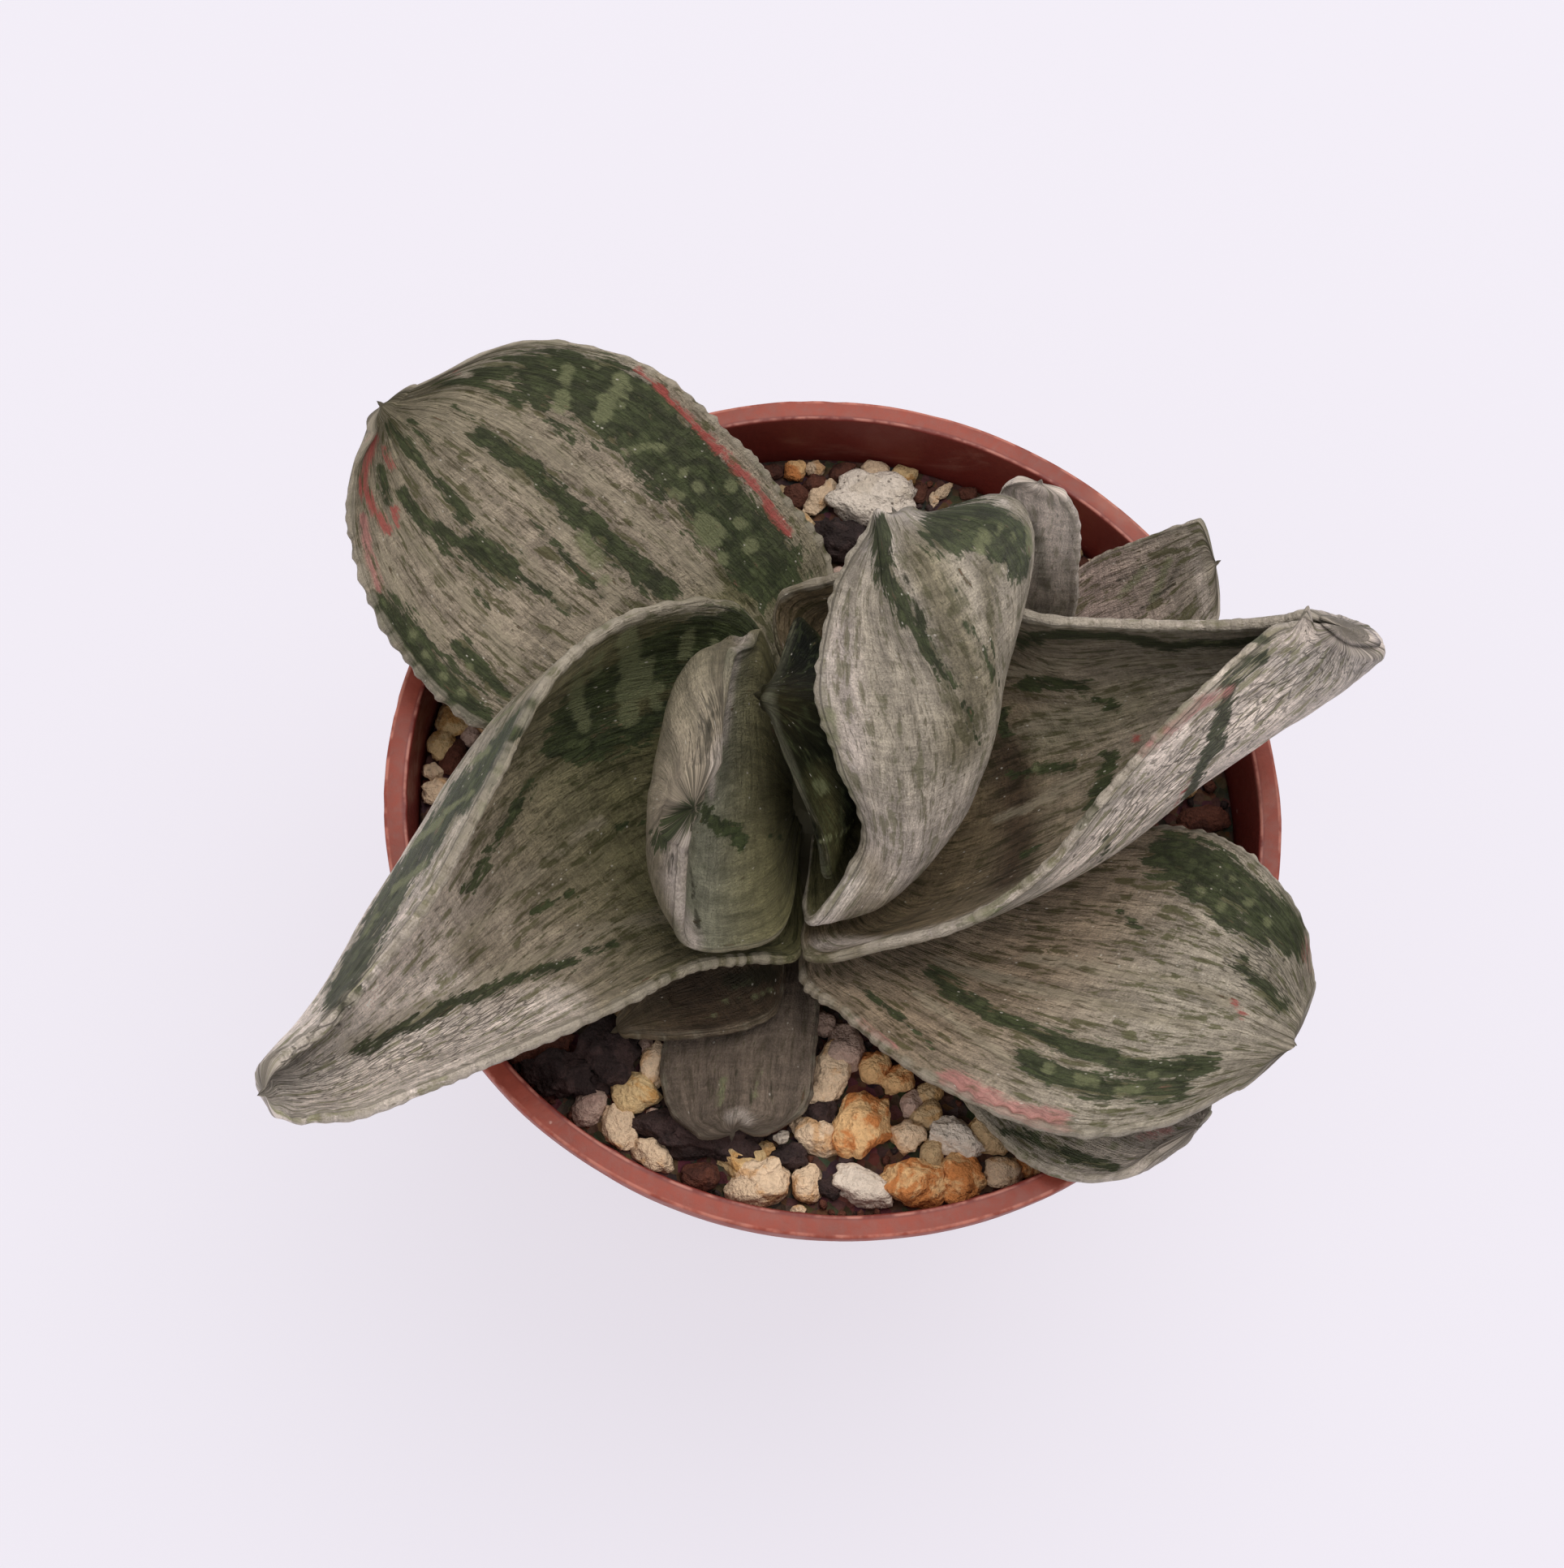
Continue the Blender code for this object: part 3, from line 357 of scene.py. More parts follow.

# Marks drawn over the photograph, in the order in which they are laid: a kind, which is one of FIELDS or a
# colour, then its strokes, each one a half width in millimetres and its points' x and y in pixels.
# Of the fields, dark is painted shade: dark strokes where a leaf lies in shade.
FIELDS = ("green", "spot", "pale", "red", "dark", "margin", "crack", "pink")
MARKS = {
    "leaf_back_left": (
        ("grey", (0.9, 560, 462, 620, 441, 690, 430, 750, 440, 790, 462)),
        ("green", (0.8, 590, 462, 625, 452), (2.0, 655, 462, 700, 468),
         (3.1, 735, 490, 800, 537, 855, 595, 905, 652, 950, 705),
         (1.9, 690, 450, 745, 464, 800, 498, 850, 552, 900, 614, 945, 668),
         (0.5, 690, 470, 740, 520, 790, 575), (0.4, 660, 500, 705, 540),
         (1.0, 595, 537, 620, 555, 660, 582, 690, 615, 720, 640),
         (1.1, 720, 640, 750, 670, 785, 700, 820, 730),
         (0.5, 480, 525, 500, 550, 525, 580, 550, 605, 575, 640), (1.5, 585, 672, 622, 698),
         (0.4, 630, 705, 670, 730, 700, 750), (0.6, 495, 610, 515, 635, 550, 660, 590, 682),
         (0.4, 540, 475, 565, 470, 615, 480, 640, 500), (0.3, 560, 500, 600, 530),
         (0.3, 505, 520, 520, 535, 533, 552), (1.6, 475, 750, 495, 775, 525, 812, 555, 845, 590, 882),
         (0.8, 565, 795, 600, 832, 622, 856), (0.5, 470, 580, 476, 615),
         (0.3, 655, 640, 690, 680, 740, 735), (0.25, 520, 640, 560, 690, 600, 745)),
        ("spot", (0.7, 700, 455, 697, 468), (0.7, 694, 488, 690, 502), (0.8, 764, 468, 760, 484),
         (0.9, 748, 494, 742, 510), (0.4, 775, 480, 768, 498), (0.4, 770, 557, 795, 550, 815, 551),
         (0.5, 828, 608, 838, 612), (0.75, 860, 600), (0.7, 900, 600), (1.3, 868, 648, 876, 660),
         (0.6, 911, 646), (0.8, 925, 672), (0.6, 890, 688), (0.5, 842, 582), (0.4, 735, 452),
         (0.9, 718, 665, 735, 690), (0.5, 745, 715), (0.4, 508, 782), (0.45, 524, 806), (0.4, 548, 832),
         (0.45, 570, 852), (0.4, 578, 822)),
        ("pale", (1.0, 550, 487, 610, 510, 660, 545, 720, 580, 770, 620, 820, 665, 880, 720),
         (0.9, 515, 507, 565, 530, 612, 567, 650, 605, 690, 650, 725, 700, 760, 740),
         (0.7, 490, 535, 525, 582, 565, 620, 615, 658, 660, 705, 695, 745),
         (0.9, 487, 640, 520, 680, 565, 732, 610, 782, 635, 820), (0.9, 468, 690, 500, 737, 540, 785)),
        ("red", (0.5, 462, 540, 452, 565, 446, 595, 455, 615, 476, 652), (0.4, 474, 552, 482, 575),
         (0.35, 486, 628, 490, 648), (0.3, 785, 455, 815, 480, 845, 510),
         (0.5, 845, 510, 875, 543, 905, 572, 932, 602, 957, 637, 972, 654), (0.4, 562, 455)),
        ("pink", (0.4, 447, 640, 455, 690, 468, 725)),
        ("olive", (2.4, 900, 730, 960, 722)),
    ),
    "leaf_left": (
        ("grey", (0.9, 930, 754, 880, 747, 800, 749, 742, 775, 700, 808, 660, 850)),
        ("green", (2.5, 640, 890, 595, 950, 545, 1010, 497, 1078, 460, 1142, 424, 1212),
         (3.0, 905, 782, 850, 790, 795, 815, 745, 850, 712, 880),
         (1.2, 684, 925, 735, 925, 785, 900, 820, 872), (0.5, 655, 960, 615, 1030, 575, 1095),
         (0.55, 705, 1186, 662, 1196, 629, 1210, 595, 1225, 557, 1236, 519, 1254, 443, 1296),
         (0.3, 724, 1172, 757, 1163), (0.3, 657, 1125, 705, 1101), (0.25, 760, 1020, 790, 1012)),
        ("spot", (1.3, 772, 786, 778, 836), (1.2, 796, 822, 788, 850), (1.1, 768, 850, 776, 880),
         (0.8, 804, 856, 808, 868), (0.9, 737, 812, 735, 826), (0.9, 712, 832, 709, 866, 720, 890),
         (0.9, 848, 784, 843, 806), (0.6, 812, 850), (0.5, 880, 790), (0.5, 629, 873, 610, 888),
         (0.5, 600, 924, 584, 938), (0.6, 612, 948), (0.5, 579, 978, 552, 998), (0.6, 594, 996),
         (0.55, 538, 1014, 506, 1042), (0.6, 520, 1067, 487, 1094), (0.4, 462, 1130, 452, 1148),
         (0.5, 440, 1222, 432, 1236)),
        ("pale", (0.3, 596, 998, 582, 1024, 557, 1042, 546, 1075, 535, 1098, 520, 1135, 478, 1182),
         (0.15, 730, 917, 763, 859)),
        ("bone", (1.2, 560, 1215, 480, 1255, 430, 1290)),
        ("sage", (2.4, 590, 1172, 640, 1178, 700, 1172)),
        ("frost", (3.2, 350, 1352, 420, 1342, 500, 1310, 560, 1290)),
        ("pale", (0.8, 860, 1120, 760, 1140, 640, 1190, 520, 1240, 430, 1290),
         (0.5, 740, 1010, 650, 1080, 560, 1170)),
        ("bone", (2.6, 400, 1352, 480, 1322, 580, 1280, 680, 1245)),
        ("chalk", (2.2, 345, 1330, 390, 1290, 420, 1260)),
        ("crack", (2.6, 345, 1345, 420, 1325, 520, 1290, 620, 1250), (2.2, 370, 1300, 420, 1250)),
        ("dark", (0.35, 448, 1200, 417, 1262)),
        ("olive", (2.5, 800, 980, 800, 1060, 815, 1130)),
    ),
    "leaf_center_left": (
        ("green", (0.9, 808, 1038, 830, 1015, 849, 998, 869, 1001), (0.9, 873, 1008, 891, 1018, 913, 1036),
         (0.3, 950, 1029, 960, 1030)),
        ("silver", (0.5, 916, 784, 902, 832, 897, 873, 891, 907, 883, 934, 876, 976),
         (0.8, 848, 1030, 836, 1050, 830, 1085, 838, 1120, 855, 1160)),
        ("dark", (0.2, 847, 1050, 853, 1090, 860, 1143), (0.25, 828, 1056, 829, 1074),
         (0.25, 877, 879, 872, 912, 861, 940)),
        ("crack", (1.2, 880, 860, 870, 920, 860, 980)),
    ),
    "leaf_heart": (
        ("slate", (0.3, 974, 779, 969, 796, 958, 832, 947, 859)),
        ("fern", (0.3, 947, 861, 958, 907, 974, 946, 988, 984, 999, 1034, 1008, 1107)),
        ("moss", (1.2, 1012, 960, 1024, 1010, 1030, 1060)),
        ("spot", (0.3, 1055, 1007, 1041, 1026, 1010, 1037), (0.5, 1008, 966, 1014, 974)),
    ),
    "leaf_center_right": (
        ("chalk", (0.7, 1082, 630, 1068, 681, 1057, 709, 1040, 748, 1026, 787, 1015, 820, 1012, 862),
         (0.7, 1101, 632, 1140, 638, 1157, 631, 1184, 615, 1212, 613, 1234, 618),
         (0.4, 1087, 639, 1098, 667, 1112, 709, 1140, 759, 1173, 837, 1212, 903)),
        ("green", (0.9, 1084, 650, 1087, 681, 1093, 714, 1109, 737, 1116, 760),
         (0.6, 1129, 759, 1143, 792, 1157, 820, 1168, 845), (0.4, 1184, 870, 1201, 895, 1212, 912),
         (2.2, 1160, 652, 1190, 644, 1225, 642, 1250, 655), (1.6, 1215, 662, 1245, 686, 1260, 700),
         (0.4, 1192, 770, 1212, 806, 1231, 842)),
        ("dark", (0.3, 1166, 862, 1176, 878, 1190, 900), (0.15, 1110, 700, 1135, 760, 1160, 810)),
        ("grey", (0.8, 1060, 700, 1045, 745, 1030, 790)),
        ("green", (0.25, 1215, 781, 1229, 814), (0.2, 1173, 720, 1184, 737)),
        ("spot", (0.7, 1214, 662, 1208, 676), (0.4, 1232, 652), (0.4, 1248, 662),
         (0.9, 1268, 655, 1270, 672), (0.8, 1018, 880, 1024, 930, 1034, 980)),
        # painted light: a lighter stroke on the inner face near the base, which lies in shade
        ("sage", (2.4, 1060, 1080, 1040, 1130, 1080, 1120)),
        ("silver", (1.2, 1036, 780, 1044, 860, 1054, 940)),
        # painted light: a lighter stroke on the inner face near the base, which lies in shade
        ("chalk", (1.3, 1045, 1085, 1022, 1120, 1006, 1150)),
        # painted shade: darker strokes on the right of the keel, the side turned away from the light
        ("khaki", (2.2, 1140, 690, 1175, 770, 1198, 850, 1185, 920), (0.9, 1215, 700, 1222, 780, 1222, 850)),
    ),
    "leaf_right": (
        ("green", (0.9, 1255, 790, 1290, 783, 1352, 783, 1398, 786),
         (0.9, 1405, 788, 1440, 797, 1473, 793, 1523, 793, 1557, 785),
         (0.6, 1262, 845, 1300, 840, 1338, 848), (0.4, 1350, 862, 1375, 872),
         (0.4, 1250, 955, 1290, 947, 1323, 943), (0.5, 1235, 880, 1240, 905),
         (0.8, 1557, 806, 1530, 822, 1508, 845),
         (0.8, 1515, 843, 1507, 877, 1498, 918, 1477, 952, 1465, 977),
         (0.8, 1368, 935, 1357, 968, 1344, 993, 1332, 1010), (0.4, 1365, 1035, 1357, 1060),
         (0.4, 1275, 1045, 1262, 1052), (0.3, 1185, 1140, 1215, 1130, 1240, 1115)),
        ("spot", (0.4, 1460, 790), (0.4, 1487, 792), (0.35, 1500, 792), (0.4, 1432, 781),
         (0.4, 1190, 1134, 1230, 1122), (0.4, 1276, 948)),
        ("red", (0.35, 1465, 962, 1444, 998), (0.4, 1400, 912)),
        ("umber", (0.6, 1490, 868, 1474, 890, 1466, 930)),
        ("pink", (0.7, 1512, 850, 1478, 869, 1452, 887, 1424, 908, 1410, 921)),
        ("bone", (3.0, 1330, 1060, 1400, 1010, 1440, 960, 1500, 900, 1560, 860)),
        ("chalk", (3.0, 1600, 810, 1640, 800, 1680, 800)),
        ("bone", (1.2, 1560, 790, 1620, 778, 1670, 782, 1695, 790)),
        ("brown", (1.8, 1243, 930, 1250, 980, 1256, 1040, 1240, 1085)),
        ("khaki", (2.0, 1290, 905, 1350, 880, 1400, 860)),
        ("crack", (3.0, 1360, 1040, 1440, 965, 1520, 890, 1600, 830, 1670, 805)),
        ("pale", (0.5, 1240, 830, 1330, 815, 1450, 815, 1530, 808), (0.5, 1240, 900, 1320, 880, 1400, 865),
         (0.5, 1230, 1010, 1290, 985, 1340, 950)),
        ("silver", (0.8, 1010, 1165, 1080, 1158, 1160, 1145, 1240, 1110)),
    ),
    "leaf_front_right": (
        ("green", (2.3, 1440, 1052, 1490, 1074, 1535, 1104, 1575, 1134, 1590, 1150),
         (0.8, 1460, 1092, 1520, 1135, 1556, 1158),
         (0.9, 1152, 1200, 1180, 1224, 1220, 1250, 1270, 1271, 1310, 1286),
         (1.1, 1310, 1286, 1355, 1301, 1395, 1314, 1440, 1318, 1485, 1310),
         (1.2, 1265, 1302, 1295, 1325, 1340, 1338, 1400, 1342, 1450, 1338),
         (0.7, 1530, 1190, 1555, 1215, 1578, 1240), (0.3, 1380, 1125, 1410, 1150),
         (0.3, 1060, 1215, 1110, 1255, 1150, 1290)),
        ("spot", (0.5, 1480, 1098), (0.5, 1505, 1116), (0.5, 1540, 1112), (0.45, 1562, 1136),
         (0.45, 1518, 1084), (0.6, 1290, 1318), (0.5, 1330, 1330, 1350, 1334),
         (0.6, 1380, 1345, 1400, 1342), (0.4, 1420, 1325)),
        ("pale", (0.7, 1160, 1185, 1260, 1215, 1370, 1240, 1470, 1262),
         (0.6, 1270, 1180, 1360, 1195, 1450, 1210, 1510, 1235), (0.6, 1130, 1225, 1190, 1270, 1240, 1305)),
        ("pink", (0.4, 1052, 1252, 1075, 1272, 1100, 1287),
         (1.1, 1168, 1331, 1215, 1357, 1262, 1373, 1305, 1380), (0.4, 1612, 1160, 1617, 1195)),
        ("red", (0.35, 1522, 1238, 1529, 1250), (0.15, 1392, 1296, 1402, 1294)),
        ("taupe", (2.2, 1010, 1185, 1080, 1195, 1150, 1180)),
        ("crack", (2.0, 1540, 1180, 1580, 1210)),
    ),
    "leaf_under_right": (
        ("green", (0.55, 1240, 1392, 1290, 1412, 1330, 1428, 1370, 1436)),
        ("spot", (0.35, 1280, 1392), (0.35, 1330, 1408), (0.35, 1372, 1412)),
        ("pink", (0.4, 1405, 1400, 1440, 1392)),
    ),
    "leaf_front_left": (
        ("spot", (0.25, 905, 1215, 925, 1210), (0.25, 930, 1228, 948, 1220), (0.25, 895, 1235, 912, 1230),
         (0.25, 870, 1220), (0.25, 880, 1250)),
        ("dark", (0.9, 900, 1206, 950, 1200)),
        ("taupe", (0.25, 775, 1268, 800, 1273, 850, 1275, 872, 1275, 930, 1261, 966, 1247)),
    ),
    "leaf_front": (
        ("spot", (0.3, 890, 1330, 885, 1360), (0.3, 935, 1320, 930, 1350)),
        ("dark", (0.15, 905, 1275, 908, 1360), (0.15, 925, 1270, 924, 1355), (0.15, 945, 1280, 948, 1350)),
        ("silver", (0.35, 900, 1376, 912, 1371, 920, 1380)),
    ),
    "leaf_back_right": (
        ("silver", (0.4, 1466, 676, 1478, 710, 1490, 768)),
        ("spot", (0.4, 1440, 690, 1420, 740), (0.4, 1410, 700, 1380, 735)),
        ("dark", (0.2, 1460, 680, 1440, 720, 1400, 760), (0.2, 1450, 675, 1400, 705, 1350, 730)),
    ),
    "leaf_back": (
        ("chalk", (0.4, 1302, 622, 1318, 618, 1322, 655, 1330, 750)),
        ("slate", (0.5, 1262, 640, 1280, 670, 1285, 720)),
    ),
}

# Spurs and prows of the leaves: (pixel where one starts, pixel that it reaches, its radius).
SPURS = {
    "leaf_right": (((1606, 782), (1611, 746), 0.75), ((1688, 800), (1704, 800), 1.6)),
    "leaf_front_right": (
        ((1578, 1282), (1594, 1288), 0.8),
        ((1186, 1337), (1182, 1343), 0.5),
        ((1206, 1347), (1203, 1353), 0.5),
        ((1228, 1356), (1226, 1362), 0.55),
        ((1250, 1365), (1248, 1371), 0.5),
        ((1272, 1371), (1270, 1377), 0.5),
        ((1294, 1376), (1293, 1382), 0.5),
    ),
    "leaf_front": (
        ((911, 1396), (911, 1387), 0.8),
        ((872, 1372), (864, 1382), 1.6),
        ((948, 1370), (954, 1380), 1.6),
    ),
    "leaf_center_right": (((1084, 645), (1081, 628), 0.9),),
    "leaf_heart": (((947, 862), (938, 860), 0.6),),
    "leaf_left": (((352, 1335), (336, 1330), 1.0), ((370, 1365), (362, 1376), 1.2)),
    "leaf_front_left": (((838, 1228), (826, 1232), 0.7),),
    "leaf_back": (((1262, 618), (1246, 602), 1.6),),
}

# The stones that show in the photograph: (kind, x, y, length, width, turn in degrees), in its pixels.
STONES = (
    ("lava", 743, 1297, 92, 74, 60), ("lava", 693, 1322, 70, 60, 0), ("clay", 668, 1292, 74, 26, 20),
    ("pink", 727, 1363, 44, 36, 70), ("yellow", 782, 1347, 52, 48, 0), ("cream", 764, 1388, 60, 35, -72),
    ("cream", 805, 1422, 52, 34, -32), ("lava", 864, 1395, 134, 62, -8), ("yellow", 914, 1426, 50, 42, 10),
    ("cream", 936, 1458, 70, 60, 0), ("tan", 945, 1415, 24, 22, 0), ("white", 963, 1399, 19, 16, 0),
    ("cream", 995, 1458, 50, 34, 76), ("cream", 984, 1489, 18, 11, 0), ("cream", 1009, 1400, 64, 42, -24),
    ("amber", 1062, 1384, 84, 64, 58), ("amber", 1107, 1329, 40, 36, 40), ("amber", 1078, 1313, 42, 34, 70),
    ("white", 1062, 1462, 70, 44, -22), ("amber", 1125, 1456, 66, 60, 0), ("amber", 1186, 1451, 58, 54, 0),
    ("cream", 1239, 1445, 44, 36, 20), ("amber", 1270, 1433, 32, 30, 0),
    ("speckled", 1180, 1402, 66, 46, -26), ("tan", 1216, 1398, 58, 46, -40),
    ("tan", 1149, 1423, 42, 27, 80), ("cream", 1118, 1401, 40, 38, 0), ("tan", 1143, 1372, 38, 32, 20),
    ("pink", 1123, 1358, 34, 26, 60), ("tan", 1146, 1345, 28, 26, 0), ("cream", 1023, 1322, 70, 42, 76),
    ("cream", 1006, 1350, 38, 26, 10), ("pink", 1014, 1258, 36, 28, 70), ("pink", 1041, 1288, 60, 50, 60),
    ("cream", 807, 1315, 58, 34, 76), ("pink", 795, 1288, 27, 18, 80), ("lava", 975, 1422, 38, 32, 0),
    ("lava", 1023, 1463, 32, 27, 0), ("lava", 1010, 1372, 40, 34, 30), ("clay", 864, 1449, 46, 38, 10),
    ("speckled", 1074, 615, 106, 66, 0), ("cream", 1078, 570, 38, 28, 0), ("yellow", 1115, 575, 42, 34, 70),
    ("amber", 980, 579, 32, 27, 80), ("cream", 1003, 575, 25, 24, 0), ("clay", 1037, 579, 38, 28, 20),
    ("clay", 1005, 594, 36, 27, 10), ("clay", 980, 609, 34, 32, 0), ("clay", 953, 580, 28, 23, 0),
    ("cream", 1010, 611, 60, 28, 64), ("lava", 1033, 665, 80, 60, -10), ("tan", 965, 602, 18, 14, 80),
    ("cream", 1162, 603, 34, 14, 50), ("cream", 1152, 612, 22, 12, 80), ("clay", 1194, 602, 24, 18, 0),
    ("clay", 1133, 606, 30, 20, 80), ("yellow", 553, 885, 44, 36, 0), ("yellow", 541, 916, 38, 32, 70),
    ("pink", 579, 906, 28, 22, 80), ("clay", 560, 932, 46, 32, 70), ("cream", 535, 949, 26, 22, 0),
    ("cream", 536, 972, 44, 34, 10), ("cream", 556, 862, 30, 18, -20), ("cream", 1350, 688, 24, 20, 0),
    ("tan", 1332, 672, 18, 15, 0), ("clay", 1336, 694, 26, 22, 0), ("clay", 1484, 1008, 60, 40, 20),
    ("clay", 1450, 1030, 46, 34, 20),
)

# Kinds of stone: (colour, colour of its stains, share of stains, share of dark specks, roughness of shape).
STONE_KINDS = {
    "white": ((214, 200, 186), (196, 178, 158), 0.2, 0.3, 0.08),
    "speckled": ((216, 204, 192), (196, 182, 164), 0.2, 0.9, 0.12),
    "cream": ((212, 186, 158), (196, 152, 106), 0.35, 0.3, 0.1),
    "tan": ((184, 158, 122), (176, 136, 88), 0.45, 0.3, 0.08),
    "yellow": ((202, 174, 130), (178, 130, 72), 0.45, 0.3, 0.1),
    "amber": ((212, 172, 124), (182, 108, 52), 0.62, 0.25, 0.12),
    "pink": ((178, 152, 140), (160, 130, 120), 0.3, 0.15, 0.08),
    "clay": ((88, 50, 38), (62, 34, 28), 0.4, 0.1, 0.08),
    "lava": ((60, 45, 44), (38, 28, 28), 0.6, 0.6, 0.2),
}
SPECK_COLOUR = (60, 48, 40)
STONE_GAIN = 1.26

# The photograph's pixels per millimetre at the stones, how far the stones' middles lie above the soil, the
# share of a stone that is sunk, the row of pixels above which stones lie in shade, and the length of a
# finer stone.
STONE_PIXELS = 12.8
STONE_LEVEL = 0.8
STONE_SUNK = 0.4
BACK_STONES = 720
BACK_SHADE = 0.72
FINE_STONE = 4.5

# The shape of a stone: how many flat sides, how far off they are, how sharp the edges between them, and the
# most that a stone reaches.
STONE_PLANES = 13
STONE_FLATS = (0.78, 1.05)
STONE_SHARPNESS = 16
STONE_REACH = 1.12

# The stones at random: their kinds, then their sizes with how often each is tried.
FILL_SEED = 5
DARK_KINDS = ("clay", "lava")
FILL_KINDS = ("cream", "tan", "pink", "yellow", "cream", "white") + 3 * ("clay",) + 3 * ("lava",)
FILL_SIZES = ((3.6, 500), (2.6, 900), (1.7, 1500), (1.0, 2600))
CRUMB_SIZE = 1.3

# The colours of the soil and the pot, the painted shade of the pot's inner wall, and the painted highlight
# lines along the lip's edges: a radius, how far from it a line starts, and how far from it the line is whole.
SOIL_COLOURS = ((30, 20, 18), (74, 46, 36))
SOIL_GRAINS = (120, 84, 66)
POT_COLOUR = (137, 60, 46)
POT_INSIDE_SHADE = (112, 42, 36)
POT_EDGE_HIGHLIGHT = (206, 138, 122)
POT_CHIPS = (216, 176, 164)
POT_SMEARS = (188, 142, 126)
LIP_HIGHLIGHT_LINES = ((RIM_RADIUS - 0.18, 0.22, 0.06), (LIP_RADIUS + 0.22, 0.2, 0.05))

# The numbers that make random numbers out of whole places.
HASH_X = 374761393
HASH_Y = 668265263
HASH_SEED = 974634777
HASH_TWIST = 1274126177


def linear(colour):
    """A screen colour as the shader wants it."""
    values = np.asarray(colour, float) / 255.0
    return np.where(values <= 0.04045, values / 12.92, ((values + 0.055) / 1.055) ** 2.4)


def screen(colour):
    """A screen colour as a socket takes it."""
    return tuple(float(value) for value in linear(colour))


def unit(vectors):
    """The same directions, each one unit long."""
    return vectors / np.maximum(np.linalg.norm(vectors, axis=-1, keepdims=True), 1e-9)


def lattice(x, y, seed):
    """A random number from 0 to 1 for each whole x and y, the same in each run."""
    mixed = (x.astype(np.int64) * HASH_X + y.astype(np.int64) * HASH_Y + seed * HASH_SEED) & 0xFFFFFFFF
    mixed = ((mixed ^ (mixed >> 13)) * HASH_TWIST) & 0xFFFFFFFF
    return ((mixed ^ (mixed >> 16)) & 0xFFFF) / 65535.0


def ripple(x, y, seed):
    """Smooth noise from -1 to 1, about one swell per unit."""
    x, y = np.broadcast_arrays(x, y)
    left, low = np.floor(x), np.floor(y)
    a, b = x - left, y - low
    a, b = a * a * (3 - 2 * a), b * b * (3 - 2 * b)
    south = lattice(left, low, seed) * (1 - a) + lattice(left + 1, low, seed) * a
    north = lattice(left, low + 1, seed) * (1 - a) + lattice(left + 1, low + 1, seed) * a
    return 2 * (south * (1 - b) + north * b) - 1


def fade(values, start, end):
    """0 at start and 1 at end, smoothly."""
    share = np.clip((values - start) / (end - start), 0.0, 1.0)
    return share * share * (3 - 2 * share)


def smooth_curve(values, at):
    """A Catmull-Rom curve through evenly spaced values, read at positions from 0 to 1."""
    values = np.asarray(values, float)
    last = len(values) - 1
    before = 2 * values[0] - values[1]
    after = 2 * values[last] - values[last - 1]
    padded = np.concatenate([[before], values, [after]])
    place = np.clip(np.asarray(at, float), 0.0, 1.0) * last
    start = np.minimum(place.astype(int), last - 1)
    u = (place - start).reshape(-1, *[1] * (values.ndim - 1))
    a, b, c, d = (padded[start + shift] for shift in range(4))
    return 0.5 * (2 * b + (c - a) * u + (2 * a - 5 * b + 4 * c - d) * u**2 + (3 * b - a - 3 * c + d) * u**3)


def walk(path):
    """How far along a path each of its points is."""
    return np.concatenate([[0.0], np.cumsum(np.linalg.norm(np.diff(path, axis=0), axis=1))])


def turned(loops, tip=None):
    """A closed surface through loops of points, with a point at each end. Each loop has the same count."""
    loops = np.asarray(loops)
    count, around = loops.shape[:2]
    ends = [loops[0].mean(axis=0), loops[-1].mean(axis=0) if tip is None else tip]
    points = np.concatenate([loops.reshape(-1, 3), ends])
    starts = around * np.arange(count - 1)[:, None]
    a = (starts + np.arange(around)).reshape(-1)
    b = (starts + (np.arange(around) + 1) % around).reshape(-1)
    faces = np.stack([a, b, b + around, a + around], axis=1).tolist()
    first, last = len(points) - 2, len(points) - 1
    top = (count - 1) * around
    for step in range(around):
        after = (step + 1) % around
        faces += [[first, after, step], [last, top + step, top + after]]
    return points, faces


def placed(name, data):
    """A new object in the scene."""
    made = bpy.data.objects.new(name, data)
    bpy.context.scene.collection.objects.link(made)
    return made


def mesh_of(name, points, faces):
    """A mesh from points in millimetres."""
    mesh = bpy.data.meshes.new(name)
    mesh.from_pydata((MM * np.asarray(points)).tolist(), [], faces)
    return mesh


def piece_of(name, points, faces, node, slot, finish):
    """A smooth piece of the part, from points in millimetres above the base."""
    mesh = mesh_of(name, points, faces)
    mesh.update()
    mesh.shade_smooth()
    mesh.materials.append(finish)
    piece = placed(name, mesh)
    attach(piece, "root")
    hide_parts(node)
    return piece


def store(piece, name, kind, values):
    """Keeps a value for each of a piece's points, which its finish reads."""
    made = piece.data.attributes.new(name, kind, "POINT")
    made.data.foreach_set("color" if kind == "FLOAT_COLOR" else "vector", np.ravel(values).astype(np.float32))


def rays(pixels):
    """The directions in which the camera sees these pixels of the photograph."""
    pixels = np.asarray(pixels, float)
    x = (pixels[:, 0] - PHOTO_WIDTH / 2) / FOCAL
    y = (pixels[:, 1] - PHOTO_HEIGHT / 2) / FOCAL
    ahead, right, up = np.asarray(AHEAD), np.asarray(RIGHTWARD), np.asarray(UPWARD)
    return unit(ahead + x[:, None] * right - y[:, None] * up)


def eye():
    """The camera's place above the base."""
    return np.asarray(EYE) + (0.0, 0.0, POT_HEIGHT)


def nearest_to_ray(points, direction):
    """Which of the points is nearest to the camera's ray in a direction."""
    off = points - np.asarray(Vector(eye()))
    return int(np.linalg.norm(off - (off @ direction)[:, None] * direction, axis=1).argmin())


